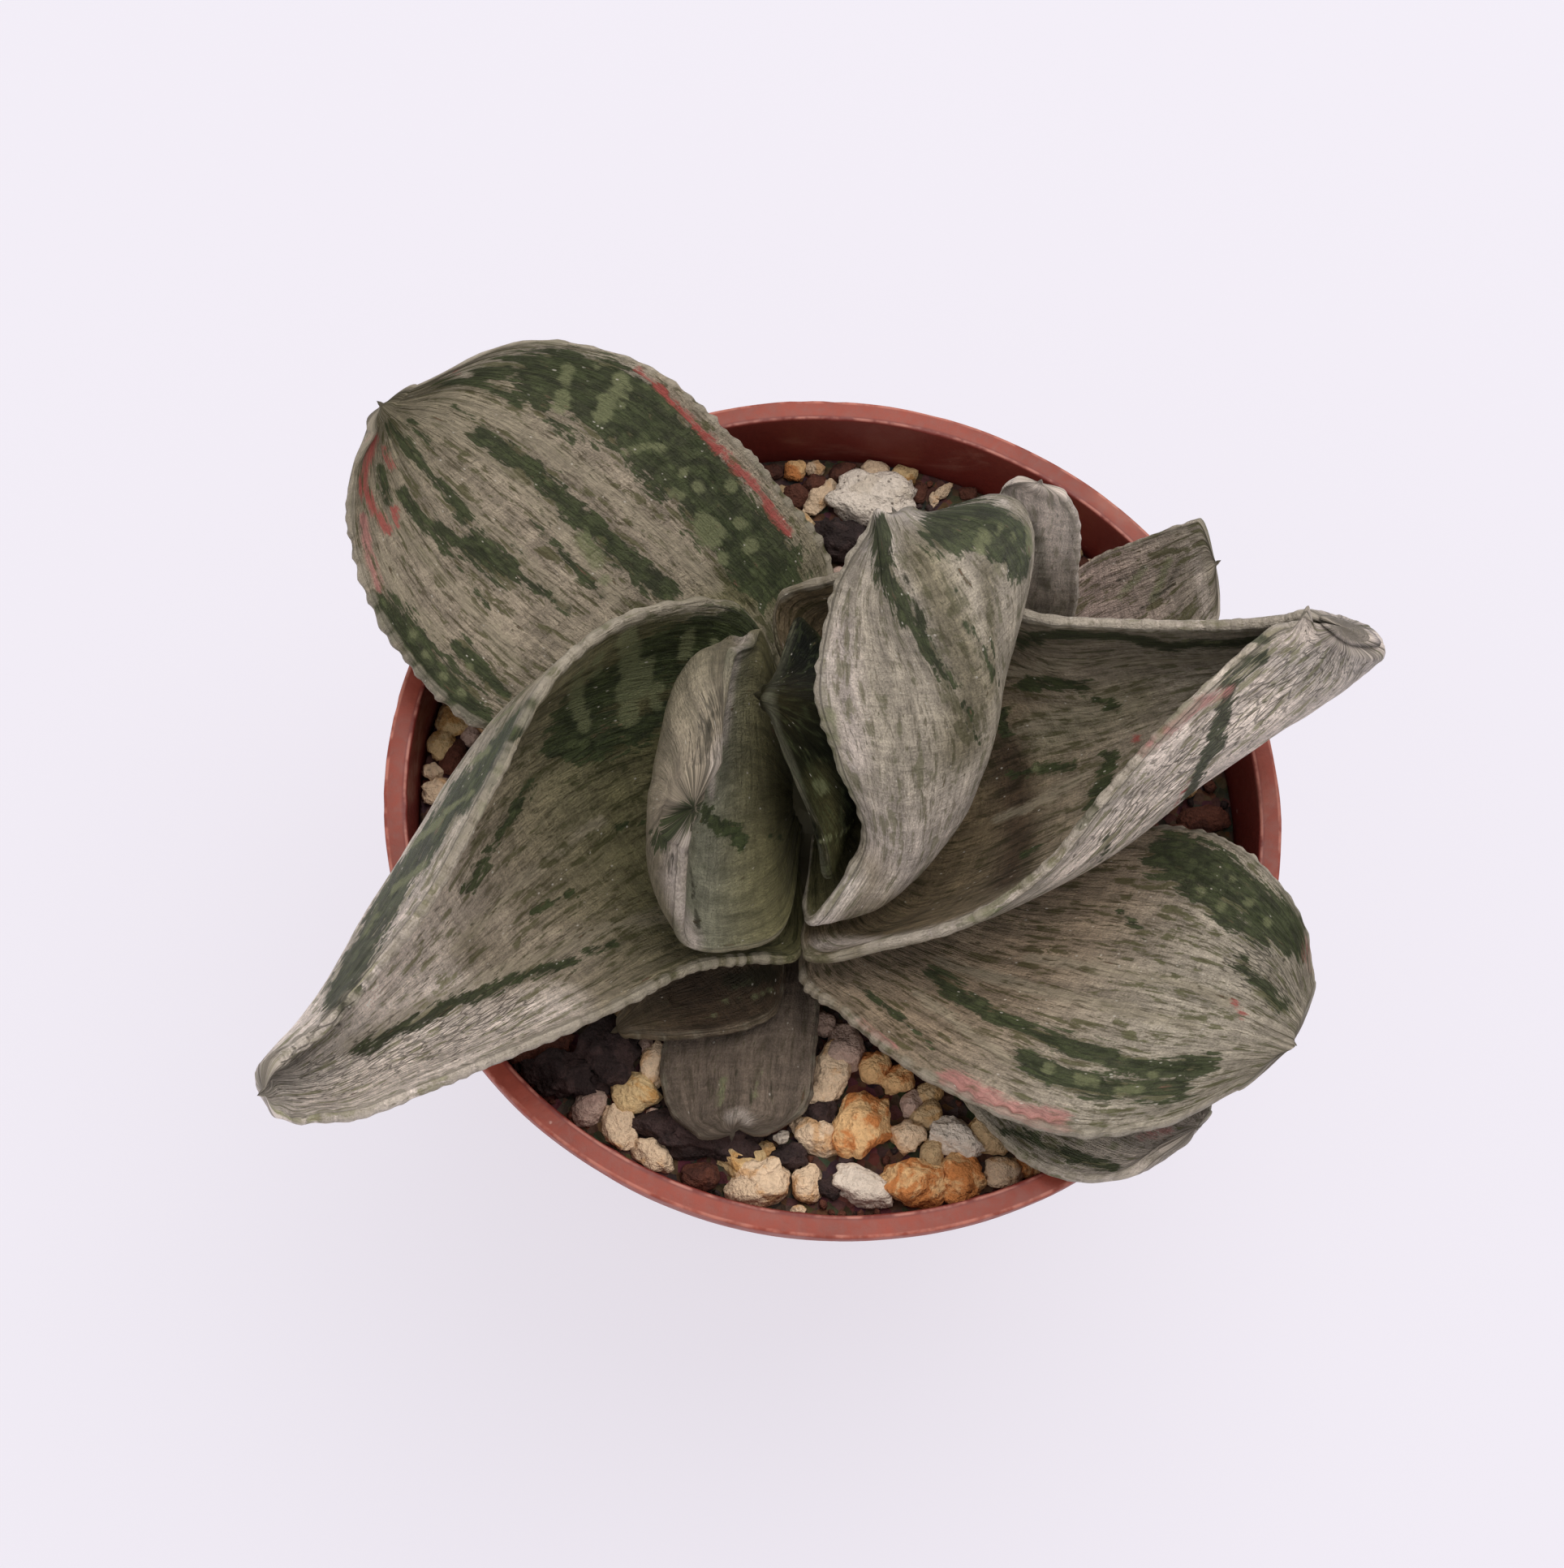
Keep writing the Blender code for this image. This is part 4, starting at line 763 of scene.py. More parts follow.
def make_camera():
    data = bpy.data.cameras.new("camera")
    data.sensor_fit = "HORIZONTAL"
    data.sensor_width = FILM_WIDTH
    data.lens = FILM_WIDTH * FOCAL / PHOTO_WIDTH
    data.clip_start = MM * CLIP_START
    camera = placed("camera", data)
    turn = Matrix((RIGHTWARD, UPWARD, [-value for value in AHEAD])).transposed()
    camera.matrix_world = Matrix.Translation(Vector(MM * eye())) @ turn.to_4x4()
    bpy.context.scene.camera = camera


def make_light():
    scene = bpy.context.scene
    scene.view_settings.view_transform = "Standard"
    scene.world = bpy.data.worlds.new("studio")
    scene.world.use_nodes = True
    background = scene.world.node_tree.nodes["Background"]
    background.inputs["Color"].default_value = SKY_COLOUR
    background.inputs["Strength"].default_value = SKY_STRENGTH
    for name, (place, width, power, colour) in LAMPS.items():
        data = bpy.data.lights.new(name, "AREA")
        data.shape = "DISK"
        data.size = width
        data.energy = power
        data.color = colour
        lamp = placed(name, data)
        lamp.location = place
        lamp.rotation_euler = (Vector(LAMP_TARGET) - Vector(place)).to_track_quat("-Z", "Y").to_euler()


class Graph:
    """A short way to write a material's nodes."""

    def __init__(self, name):
        self.material = bpy.data.materials.new(name)
        self.material.use_nodes = True
        self.tree = self.material.node_tree
        self.shader = self.tree.nodes["Principled BSDF"]

    def add(self, kind, **settings):
        node = self.tree.nodes.new(kind)
        for key, value in settings.items():
            setattr(node, key, value)
        return node

    def put(self, socket, value):
        """Links an output to a socket, or sets the socket's own value."""
        if isinstance(value, bpy.types.NodeSocket):
            self.tree.links.new(value, socket)
        elif isinstance(value, tuple) and len(value) == 3 and socket.type == "RGBA":
            socket.default_value = (*value, 1.0)
        else:
            socket.default_value = value

    def put_all(self, sockets, values):
        for socket, value in zip(sockets, values):
            self.put(socket, value)

    def place(self):
        """The place on the object, in metres."""
        return self.add("ShaderNodeTexCoord").outputs["Object"]

    def attribute(self, name):
        """Four numbers kept on the points."""
        node = self.add("ShaderNodeAttribute", attribute_name=name)
        parts = self.add("ShaderNodeSeparateColor")
        self.put(parts.inputs[0], node.outputs["Color"])
        return [*parts.outputs, node.outputs["Alpha"]]

    def colour(self, name):
        """A colour and a number kept on the points."""
        node = self.add("ShaderNodeAttribute", attribute_name=name)
        return node.outputs["Color"], node.outputs["Alpha"]

    def math(self, operation, a, b=0.0):
        node = self.add("ShaderNodeMath", operation=operation)
        self.put_all(node.inputs, (a, b))
        return node.outputs[0]

    def times(self, value, *others):
        for other in others:
            value = self.math("MULTIPLY", value, other)
        return value

    def plus(self, value, *others):
        for other in others:
            value = self.math("ADD", value, other)
        return value

    def weighed(self, *pairs):
        """A sum of numbers, each one times its share."""
        return self.plus(*(self.times(*pair) for pair in pairs))

    def stretched(self, vector, factors):
        """A place for a pattern, in swells or cells. One factor serves for all three ways."""
        node = self.add("ShaderNodeVectorMath", operation="MULTIPLY")
        self.put_all(node.inputs, (vector, factors if isinstance(factors, tuple) else (factors,) * 3))
        return node.outputs[0]

    def noise(self, vector, factors, detail=2.0, rough=0.5, warp=0.0):
        node = self.add("ShaderNodeTexNoise")
        sockets = [node.inputs[name] for name in ("Vector", "Scale", "Detail", "Roughness", "Distortion")]
        self.put_all(sockets, (self.stretched(vector, factors), 1.0, detail, rough, warp))
        return node.outputs["Fac"]

    def cells(self, vector, factors, feature="F1", output="Distance"):
        node = self.add("ShaderNodeTexVoronoi", feature=feature)
        sockets = [node.inputs[name] for name in ("Vector", "Scale", "Randomness")]
        self.put_all(sockets, (self.stretched(vector, factors), 1.0, 1.0))
        return node.outputs[output]

    def span(self, value, start, end, low=0.0, high=1.0):
        """The value from start to end, drawn smoothly onto low to high."""
        node = self.add("ShaderNodeMapRange", interpolation_type="SMOOTHSTEP")
        self.put_all(node.inputs, (value, start, end, low, high))
        return node.outputs[0]

    def about(self, value, start, end):
        """The value from start to end, drawn smoothly onto -0.5 to 0.5."""
        return self.span(value, start, end, -0.5, 0.5)

    def mix(self, share, a, b, blend="MIX"):
        node = self.add("ShaderNodeMix", data_type="RGBA", blend_type=blend)
        self.put_all((node.inputs[0], node.inputs[6], node.inputs[7]), (share, a, b))
        return node.outputs[2]

    def tinted(self, colour, other):
        return self.mix(1.0, colour, other, "MULTIPLY")

    def shade(self, colour, value):
        """A colour made lighter or darker by a number."""
        joined = self.add("ShaderNodeCombineColor")
        self.put_all(joined.inputs, (value,) * 3)
        return self.tinted(colour, joined.outputs[0])

    def bump(self, height, distance, strength):
        node = self.add("ShaderNodeBump")
        sockets = [node.inputs[name] for name in ("Strength", "Distance", "Height")]
        self.put_all(sockets, (strength, distance, height))
        self.put(self.shader.inputs["Normal"], node.outputs[0])

    def finish(self, colour, roughness, shine=None):
        self.put(self.shader.inputs["Base Color"], colour)
        self.put(self.shader.inputs["Roughness"], roughness)
        if shine is not None:
            self.put(self.shader.inputs["Specular IOR Level"], shine)
        return self.material


def leaf_finish(name, net=False):
    """A leaf's skin: streaked and mottled, with its marks laid over it, and a pale net on the heart leaf."""
    g = Graph(name)
    place = g.add("ShaderNodeAttribute", attribute_name="place").outputs["Vector"]
    tone, strength = g.colour("tone")
    fields = dict(zip(FIELDS, g.attribute("marks") + g.attribute("more")))
    broad, streak, fine, patch, blot, grain, bands = (
        g.noise(place, (*factors, 1.0), *rest) for factors, *rest in SKIN_NOISES
    )
    ragged, streaked, blotted = (g.about(value, 0.36, 0.64) for value in (patch, streak, blot))
    hair = g.about(fine, 0.34, 0.66)
    wander = g.weighed((ragged, 0.3), (streaked, 0.32), (hair, 0.2), (blotted, 0.22))

    # the skin itself
    base = g.shade(tone, g.span(broad, 0.34, 0.68, 0.76, 1.22))
    base = g.shade(base, g.plus(g.times(streaked, strength, 0.34), 1.0))
    base = g.shade(base, g.plus(g.times(hair, strength, 0.2), 1.0))
    base = g.shade(base, g.span(bands, 0.36, 0.64, 0.88, 1.12))
    base = g.shade(base, g.span(grain, 0.34, 0.66, 0.78, 1.2))
    base = g.shade(base, g.span(patch, 0.38, 0.62, 0.88, 1.12))
    tint = g.span(g.plus(streaked, g.times(ragged, 0.7)), -0.22, -0.6)
    base = g.mix(g.times(tint, strength, 0.8), base, g.tinted(tone, screen(TINT_COLOUR)))
    lines = g.times(g.span(hair, -0.16, -0.46), g.span(g.plus(blotted, streaked), 0.35, -0.35))
    base = g.mix(g.times(lines, strength, 0.72), base, g.tinted(tone, screen(LINE_COLOUR)))

    # its marks, the dark one among them painted shade
    leafy = g.mix(g.span(patch, 0.38, 0.62), *(screen(colour) for colour in GREEN_COLOURS))
    leafy = g.shade(leafy, g.span(hair, -0.5, 0.5, 0.75, 1.2))
    dots = g.span(g.plus(g.cells(place, (0.42, 0.72, 1.0)), g.times(ragged, 0.22)), 0.3, 0.08)
    leafy = g.mix(g.times(dots, 0.45), leafy, screen(GREEN_DOTS))
    leafy = g.shade(leafy, g.span(grain, 0.3, 0.7, 0.82, 1.16))
    looks = {kind: screen(colour) for kind, colour in MARK_COLOURS.items()}
    looks["green"] = leafy
    looks["pale"] = g.shade(looks["pale"], g.span(hair, -0.5, 0.5, 0.72, 1.08))
    looks["spot"] = g.shade(looks["spot"], g.span(grain, 0.3, 0.7, 0.8, 1.14))
    looks["pink"] = g.shade(looks["pink"], g.span(hair, -0.5, 0.5, 0.8, 1.12))
    looks["margin"] = g.mix(g.span(fields["margin"], 0.62, 1.0), looks["margin"], screen(MARGIN_PALE))
    for kind, (wandering, start, end, share) in LAYERS.items():
        shown = g.span(g.plus(fields[kind], g.times(wander, wandering)), start, end)
        base = g.mix(g.times(shown, share), base, looks[kind])
    # the creases are sunk in by the bump, and the dark colour in them is painted shade
    creases = g.span(g.cells(place, (0.5, 1.9, 1.0), "DISTANCE_TO_EDGE"), 0.1, 0.0)
    creases = g.times(creases, g.span(g.plus(fields["crack"], ragged), 0.3, 0.8))
    base = g.mix(g.times(creases, 0.65), base, screen(CREASE_SHADE_COLOUR))

    # the heart leaf's net, and dust
    if net:
        web = g.span(g.cells(place, (0.36, 0.5, 1.0), "DISTANCE_TO_EDGE"), 0.14, 0.0)
        base = g.mix(g.times(web, g.span(ragged, -0.3, 0.4), 0.26), base, screen(NET_COLOUR))
    dust = g.span(g.cells(place, (0.8, 1.1, 1.0)), 0.13, 0.06)
    base = g.mix(g.times(dust, g.span(ragged, -0.1, 0.2), 0.7), base, screen(DUST_COLOUR))
    height = g.weighed((hair, 0.45), (grain, 0.9), (streaked, 0.35), (bands, 1.2))
    height = g.math("SUBTRACT", height, g.times(creases, 0.9))
    g.bump(height, 0.0003, 0.9)
    return g.finish(base, g.span(grain, 0.3, 0.7, 0.45, 0.6), 0.1 if net else 0.28)


def leaf_grid(grid):
    """The upper face in fine rows and columns, its length, and its columns' places from -1 to 1."""
    grid = np.asarray(grid, float)
    fine = np.linspace(0.0, 1.0, CURVE_STEPS)
    walked = walk(smooth_curve(grid[:, grid.shape[1] // 2], fine))
    length = walked[-1]
    rows = int(length / ROW_PITCH) + 2
    along = np.interp(np.linspace(0.0, length, rows), walked, fine)
    lengthwise = smooth_curve(grid, along)
    widths = np.array([walk(row)[-1] for row in lengthwise])
    columns = int(widths.max() / COLUMN_PITCH) // 2 * 2 + 3
    even = np.linspace(-1.0, 1.0, columns)
    across = (1 - EDGE_CROWD) * even + EDGE_CROWD * np.sin(0.5 * math.pi * even)
    face = np.stack([smooth_curve(row, 0.5 + 0.5 * across) for row in lengthwise])
    return face, length, across, widths


def warts(length, rows, draw):
    """How far the margin's warts stand out, row by row."""
    place = np.linspace(0.0, length, rows)
    swell = np.zeros(rows)
    at = WARTS_FROM * length
    while at < length:
        height = draw.uniform(*WART_HEIGHT)
        width = draw.uniform(*WART_WIDTH)
        swell = np.maximum(swell, height * np.exp(-(((place - at) / width) ** 2)))
        at += draw.uniform(*WART_PITCH)
    return swell[:, None]


def relief(u, w, inward, seed):
    """The low swells of a leaf's face, which end at its edge."""
    layers = enumerate(RELIEF, seed)
    total = sum(height * ripple(u / long, w / wide, layer) for layer, (height, long, wide) in layers)
    return total * fade(inward, 0.0, RELIEF_FADE)


def leaf_surface(name, thickness, keel, grid, seed):
    """A fine closed leaf, and what is known of each of its points.

    That is its place along (u) and across (w) in millimetres, its distance from the edge, its side (0 on the
    upper face and 1 on the under face), its share of the way to the tip, and how much of a wart it is.
    """
    draw = random.Random(seed)
    face, length, across, widths = leaf_grid(grid)
    rows, columns = face.shape[:2]
    along = np.linspace(0.0, 1.0, rows)[:, None]
    s = across[None, :]
    widths = widths[:, None]
    lift = unit(np.cross(np.gradient(face, axis=1), np.gradient(face, axis=0)))
    root = np.clip(along / ROOT_RUN, 0.0, 1.0)
    full = thickness * (1.0 - TIP_THINNING * along**3) * (ROOT_SHARE + (1.0 - ROOT_SHARE) * root)
    depth = EDGE_THICKNESS + (full - EDGE_THICKNESS) * (1.0 - np.abs(s) ** FULLNESS)
    ridge = np.exp(-((np.abs(s) / KEEL_HALF_WIDTH) ** KEEL_POWER))
    depth = depth + keel * np.sin(math.pi * along**2) * ridge
    depth = np.minimum(depth, NARROW_THICKNESS + NARROW_SHARE * widths)
    u = along * length + 0.0 * s
    w = s * 0.5 * widths.max() + 0.0 * along
    inward = 0.5 * widths * (1.0 - np.abs(s))
    swell_left, swell_right = (LOOKS[name][2] * warts(length, rows, draw) for _ in range(2))
    swell = np.where(s < 0, swell_left, swell_right)
    bead = (BEAD_HEIGHT + BEAD_OF_WART * swell) * np.exp(-(((inward - BEAD_PLACE) / BEAD_WIDTH) ** 2))
    bead = bead * fade(along, 0.0, 0.15)
    under = face - lift * (depth + BEAD_UNDER * bead + relief(u, w, inward, seed))[..., None]
    upper = face + lift * (bead + relief(u, w, inward, seed + 3))[..., None]
    wave = EDGE_WAVE * ripple(length * along / EDGE_WAVE_LENGTH, 0.0, seed + 6)

    def edge(column, beside, swelling):
        """The rounded edge, from the upper face to the under face."""
        middle = 0.5 * (upper[:, column] + under[:, column])
        arm = 0.5 * (upper[:, column] - under[:, column])
        out = unit(face[:, column] - face[:, beside]) * (EDGE_REACH + swelling + wave)
        turns = np.linspace(0.5 * math.pi, -0.5 * math.pi, EDGE_STEPS + 2)[1:-1]
        return np.stack([middle + arm * math.sin(turn) + out * math.cos(turn) for turn in turns], axis=1)

    def ring(top, right, bottom, left):
        """Values round the leaf: on its upper face, its right edge, its under face and its left edge."""
        whole, thin = np.zeros((rows, columns)), np.zeros((rows, EDGE_STEPS))
        return np.concatenate([top + whole, right + thin, (bottom + whole)[:, ::-1], left + thin], axis=1)

    right, left = edge(-1, -2, swell_right), edge(0, 1, swell_left)[:, ::-1]
    loops = np.concatenate([upper, right, under[:, ::-1], left], axis=1)
    rounding = np.linspace(0.1, 0.9, EDGE_STEPS)
    facts = {
        "u": ring(u, u[:, :1], u, u[:, :1]),
        "w": ring(w, w[:, -1:] + rounding, w, w[:, :1] - rounding),
        "inward": ring(inward, 0.0, inward, 0.0),
        "side": ring(0.0, 0.5, 1.0, 0.5),
        "along": ring(along, along, along, along),
        "swell": ring(swell, swell_right, swell, swell_left),
    }

    # the tip: a round cap, and the little point on it
    end = loops[-1].mean(axis=0)
    ahead = unit(face[-1, columns // 2] - face[-4, columns // 2])
    radius = 0.5 * np.linalg.norm(loops[-1, 0] - loops[-1, columns - 1])
    mucro = MUCRO_RADIUS / max(radius, MUCRO_RADIUS)
    turns = [0.5 * math.pi * step / (TIP_ROWS + 0.6) for step in range(1, TIP_ROWS + 1)]
    caps = [(math.cos(turn) ** TIP_ROUND, TIP_REACH * math.sin(turn)) for turn in turns]
    caps += [(mucro, TIP_REACH + 0.15 * MUCRO_LENGTH), (0.75 * mucro, TIP_REACH + 0.5 * MUCRO_LENGTH)]
    caps = [end + (loops[-1] - end) * narrow + ahead * reach for narrow, reach in caps]
    loops = np.concatenate([loops, caps])
    for key, values in facts.items():
        facts[key] = np.concatenate([values, np.repeat(values[-1:], len(caps), axis=0)])
    facts["inward"][rows:] *= np.linspace(0.6, 0.0, len(caps))[:, None]
    for key, values in facts.items():
        facts[key] = np.concatenate([values.reshape(-1), values[0, :1], values[-1, :1]])
    points, faces = turned(loops, end + ahead * (TIP_REACH + MUCRO_LENGTH))
    points[:, 2] += POT_HEIGHT

    # the faces look outwards
    corners = points[np.asarray(faces[: -2 * loops.shape[1]])]
    way = np.cross(corners[:, 2] - corners[:, 0], corners[:, 3] - corners[:, 1])
    if (way * (corners.mean(axis=1) - points.mean(axis=0))).sum() < 0:
        faces = [face_points[::-1] for face_points in faces]
    return points, faces, facts


def pull_spurs(name, points, faces):
    """Draws a leaf's spurs out of its skin, square to the camera."""
    tree = BVHTree.FromPolygons(points.tolist(), faces)
    start = Vector(eye())
    for foot, tip, radius in SPURS.get(name, ()):
        direction = rays([foot])[0]
        hit = tree.ray_cast(start, Vector(direction))[0]
        hit = np.asarray(points[nearest_to_ray(points, direction)] if hit is None else hit)
        scale = float((hit - np.asarray(start)) @ np.asarray(AHEAD)) / FOCAL
        way = (tip[0] - foot[0]) * np.asarray(RIGHTWARD) - (tip[1] - foot[1]) * np.asarray(UPWARD)
        share = np.exp(-((np.linalg.norm(points - hit, axis=1) / radius) ** 2))
        points += share[:, None] * scale * way


def stroke_share(pixels, half_width, soft, tree, points, outward):
    """How much of a stroke lies on each point of a leaf, for a stroke drawn over the photograph."""
    path = np.reshape(pixels, (-1, 2)).astype(float)
    if len(path) > 1:
        walked = walk(path)
        at = np.linspace(0.0, walked[-1], max(2, int(walked[-1] / STROKE_PITCH)))
        path = np.stack([np.interp(at, walked, path[:, 0]), np.interp(at, walked, path[:, 1])], axis=1)
    near = np.full(len(points), 1e9)
    facing = np.zeros(len(points))
    for direction in rays(path):
        spot, way = tree.ray_cast(Vector(eye()), Vector(direction))[:2]
        if spot is None:
            nearest = nearest_to_ray(points, direction)
            spot, way = points[nearest], outward[nearest]
        away = np.linalg.norm(points - np.asarray(spot), axis=1)
        closer = away < near
        near[closer] = away[closer]
        facing[closer] = (outward[closer] * np.asarray(way)).sum(axis=1)
    return np.clip(0.5 + (half_width - near) / (2 * soft), 0.0, 1.0) * fade(facing, -0.1, 0.3)


def paint_leaf(name, piece, points, faces, facts, seed):
    """Writes a leaf's skin colours and marks on its points."""
    u, w, side, along = (facts[key] for key in ("u", "w", "side", "along"))
    upper, under, _, line, streaks = LOOKS[name]
    tones = []
    for row in (upper, under):
        stops = np.stack([linear(COLOURS[colour]) for colour in row.split()])
        tones.append(smooth_curve(stops, along))
    tone = tones[0] * (1 - side[:, None]) + tones[1] * side[:, None]
    fields = {kind: np.zeros(len(points)) for kind in FIELDS}
    bumpy = 0.45 + 0.55 * fade(facts["swell"], 0.02, 0.16)
    fields["margin"] = bumpy * fade(facts["inward"], line + 0.1, 0.05) * fade(along, 0.04, 0.2)
    tree = BVHTree.FromPolygons(points.tolist(), faces)
    normals = np.zeros(len(points) * 3, np.float32)
    piece.data.vertices.foreach_get("normal", normals)
    outward = normals.reshape(-1, 3)
    for kind, *strokes in MARKS[name]:
        for half_width, *pixels in strokes:
            soft = STROKE_SOFT + (PALE_SOFTNESS if kind == "pale" else STROKE_SOFTNESS) * half_width
            value = stroke_share(pixels, half_width, soft, tree, points, outward)
            if kind in FIELDS:
                fields[kind] = np.maximum(fields[kind], value)
            else:
                tone = tone + (linear(COLOURS[kind]) - tone) * value[:, None]

    # where the camera doesn't see, green blots with pale spots
    unseen = fade((outward * unit(np.asarray(Vector(eye())) - points)).sum(axis=1), 0.0, -0.25)
    blots = ripple(u / 8, w / 2.4, seed + 10) + 0.6 * ripple(u / 3.5, w / 1.1, seed + 11)
    blots = fade(blots, 0.1, 0.9) * fade(along, 0.1, 0.35)
    dots = fade(ripple(u / 1.9, w / 1.5, seed + 12), 0.45, 0.85)
    fields["green"] = np.maximum(fields["green"], unseen * blots)
    fields["spot"] = np.maximum(fields["spot"], 0.8 * unseen * blots * dots)

    elsewhere = FACE_SHIFT * np.round(side) + LEAF_SHIFT * seed
    store(piece, "place", "FLOAT_VECTOR", np.stack([u, w, elsewhere], axis=1))
    store(piece, "tone", "FLOAT_COLOR", np.column_stack([SKIN_GAIN * tone, np.full(len(points), streaks)]))
    for attribute, kinds in (("marks", FIELDS[:4]), ("more", FIELDS[4:])):
        store(piece, attribute, "FLOAT_COLOR", np.column_stack([fields[kind] for kind in kinds]))


def make_leaves():
    skin = leaf_finish("leaf_skin")
    netted = leaf_finish("heart_skin", True)
    trees = []
    for seed, (name, (thickness, keel, grid)) in enumerate(LEAVES.items(), 1):
        points, faces, facts = leaf_surface(name, thickness, keel, grid, seed)
        pull_spurs(name, points, faces)
        finish = netted if name == "leaf_heart" else skin
        piece = piece_of(f"{name}_skin", points, faces, name, "leaf", finish)
        paint_leaf(name, piece, points, faces, facts, seed)
        trees.append(BVHTree.FromPolygons(points.tolist(), faces))
    return trees


def wall_line(height, low, high, low_radius, high_radius):
    """The radius at a height on a straight wall between two heights."""
    return low_radius + (high_radius - low_radius) * (height - low) / (high - low)


def wall_radius(height):
    """The pot's inner radius at a height above its base."""
    neck = LIP_RADIUS - COLLAR_WALL
    if height > STEP_HEIGHT:
        return wall_line(height, STEP_HEIGHT, POT_HEIGHT, neck, LIP_RADIUS)
    return wall_line(height, BASE_THICKNESS, STEP_HEIGHT, BASE_RADIUS - WALL, neck)


def rounded(profile, radius):
    """A profile with each of its inner corners turned into an arc."""
    path = [profile[0]]
    for before, corner, after in zip(profile, profile[1:], profile[2:]):
        corner = np.asarray(corner)
        back, on = np.asarray(before) - corner, np.asarray(after) - corner
        reach = min(radius, 0.45 * np.linalg.norm(back), 0.45 * np.linalg.norm(on))
        start, end = corner + reach * unit(back), corner + reach * unit(on)
        for share in np.linspace(0.0, 1.0, CORNER_STEPS + 1):
            path.append((1 - share) ** 2 * start + 2 * share * (1 - share) * corner + share**2 * end)
    path.append(profile[-1])
    return np.asarray(path)


def pitched(path, pitch):
    """A path with points added so that none of its steps is longer than the pitch."""
    points = [path[0]]
    for start, end in zip(path, path[1:]):
        steps = max(1, int(np.linalg.norm(end - start) / pitch))
        points += [start + (end - start) * step / steps for step in range(1, steps + 1)]
    return np.asarray(points)


def cut_away(piece, low, high):
    """Takes out of a piece what lies between two loops of points."""
    cutter = placed("cutter", mesh_of("cutter", *turned([low, high])))
    change = piece.modifiers.new("cut", "BOOLEAN")
    change.operation = "DIFFERENCE"
    change.object = cutter
    change.solver = "EXACT"
    bpy.context.view_layer.update()
    ready = bpy.data.meshes.new_from_object(piece.evaluated_get(bpy.context.evaluated_depsgraph_get()))
    piece.modifiers.clear()
    piece.data = ready
    bpy.data.objects.remove(cutter)


def pot_finish():
    """Terracotta plastic with painted shade inside, painted highlight lines on the lip's edges, chips and
    smears.
    """
    g = Graph("terracotta_plastic")
    place = g.place()
    parts = g.add("ShaderNodeSeparateXYZ")
    g.put(parts.inputs[0], place)
    x, y, z = parts.outputs
    out = g.math("SQRT", g.plus(g.times(x, x), g.times(y, y)))
    mottle = g.noise(place, 90.0, 4.0, 0.6)
    grain = g.noise(place, 900.0, 3.0, 0.6)
    slopes = []
    for low, high in ((BASE_THICKNESS, STEP_HEIGHT), (STEP_HEIGHT, POT_HEIGHT)):
        slope = (wall_radius(high) - wall_radius(low)) / (high - low)
        slopes.append(g.plus(g.times(z, slope), MM * (wall_radius(low) - slope * low)))
    base = g.shade(screen(POT_COLOUR), g.span(mottle, 0.32, 0.68, 0.84, 1.1))
    base = g.shade(base, g.span(grain, 0.3, 0.7, 0.9, 1.08))
    # painted shade: the inner wall, from a little above the base, takes a darker colour for the shade inside
    # the pot
    inner_shade = g.span(g.math("SUBTRACT", out, g.math("MINIMUM", *slopes)), 0.0006, 0.0003)
    base = g.mix(g.times(inner_shade, g.span(z, 0.001, 0.0015)), base, screen(POT_INSIDE_SHADE))
    # painted highlight: pale lines along the lip's inner and outer edges, where the rounded edges catch the
    # light
    lines = []
    for radius, start, end in LIP_HIGHLIGHT_LINES:
        off = g.math("ABSOLUTE", g.math("SUBTRACT", out, MM * radius))
        lines.append(g.span(off, MM * start, MM * end))
    line = g.times(g.math("MAXIMUM", *lines), g.span(z, MM * 59.2, MM * 59.7))
    line = g.times(line, g.span(g.noise(place, 400.0, 3.0, 0.6), 0.4, 0.6))
    base = g.mix(g.times(line, 0.5), base, screen(POT_EDGE_HIGHLIGHT))
    chips = g.span(g.plus(g.cells(place, 560.0), g.times(grain, 0.45)), 0.36, 0.28)
    chips = g.times(chips, g.span(g.noise(place, 160.0), 0.57, 0.64))
    base = g.mix(g.times(chips, 0.7), base, screen(POT_CHIPS))
    smears = g.span(g.noise(place, (45.0, 45.0, 170.0), 5.0, 0.65, 1.0), 0.55, 0.72)
    base = g.mix(g.times(smears, 0.22), base, screen(POT_SMEARS))
    g.bump(g.plus(grain, mottle), 0.00012, 0.5)
    return g.finish(base, g.span(grain, 0.3, 0.7, 0.4, 0.56), 0.4)


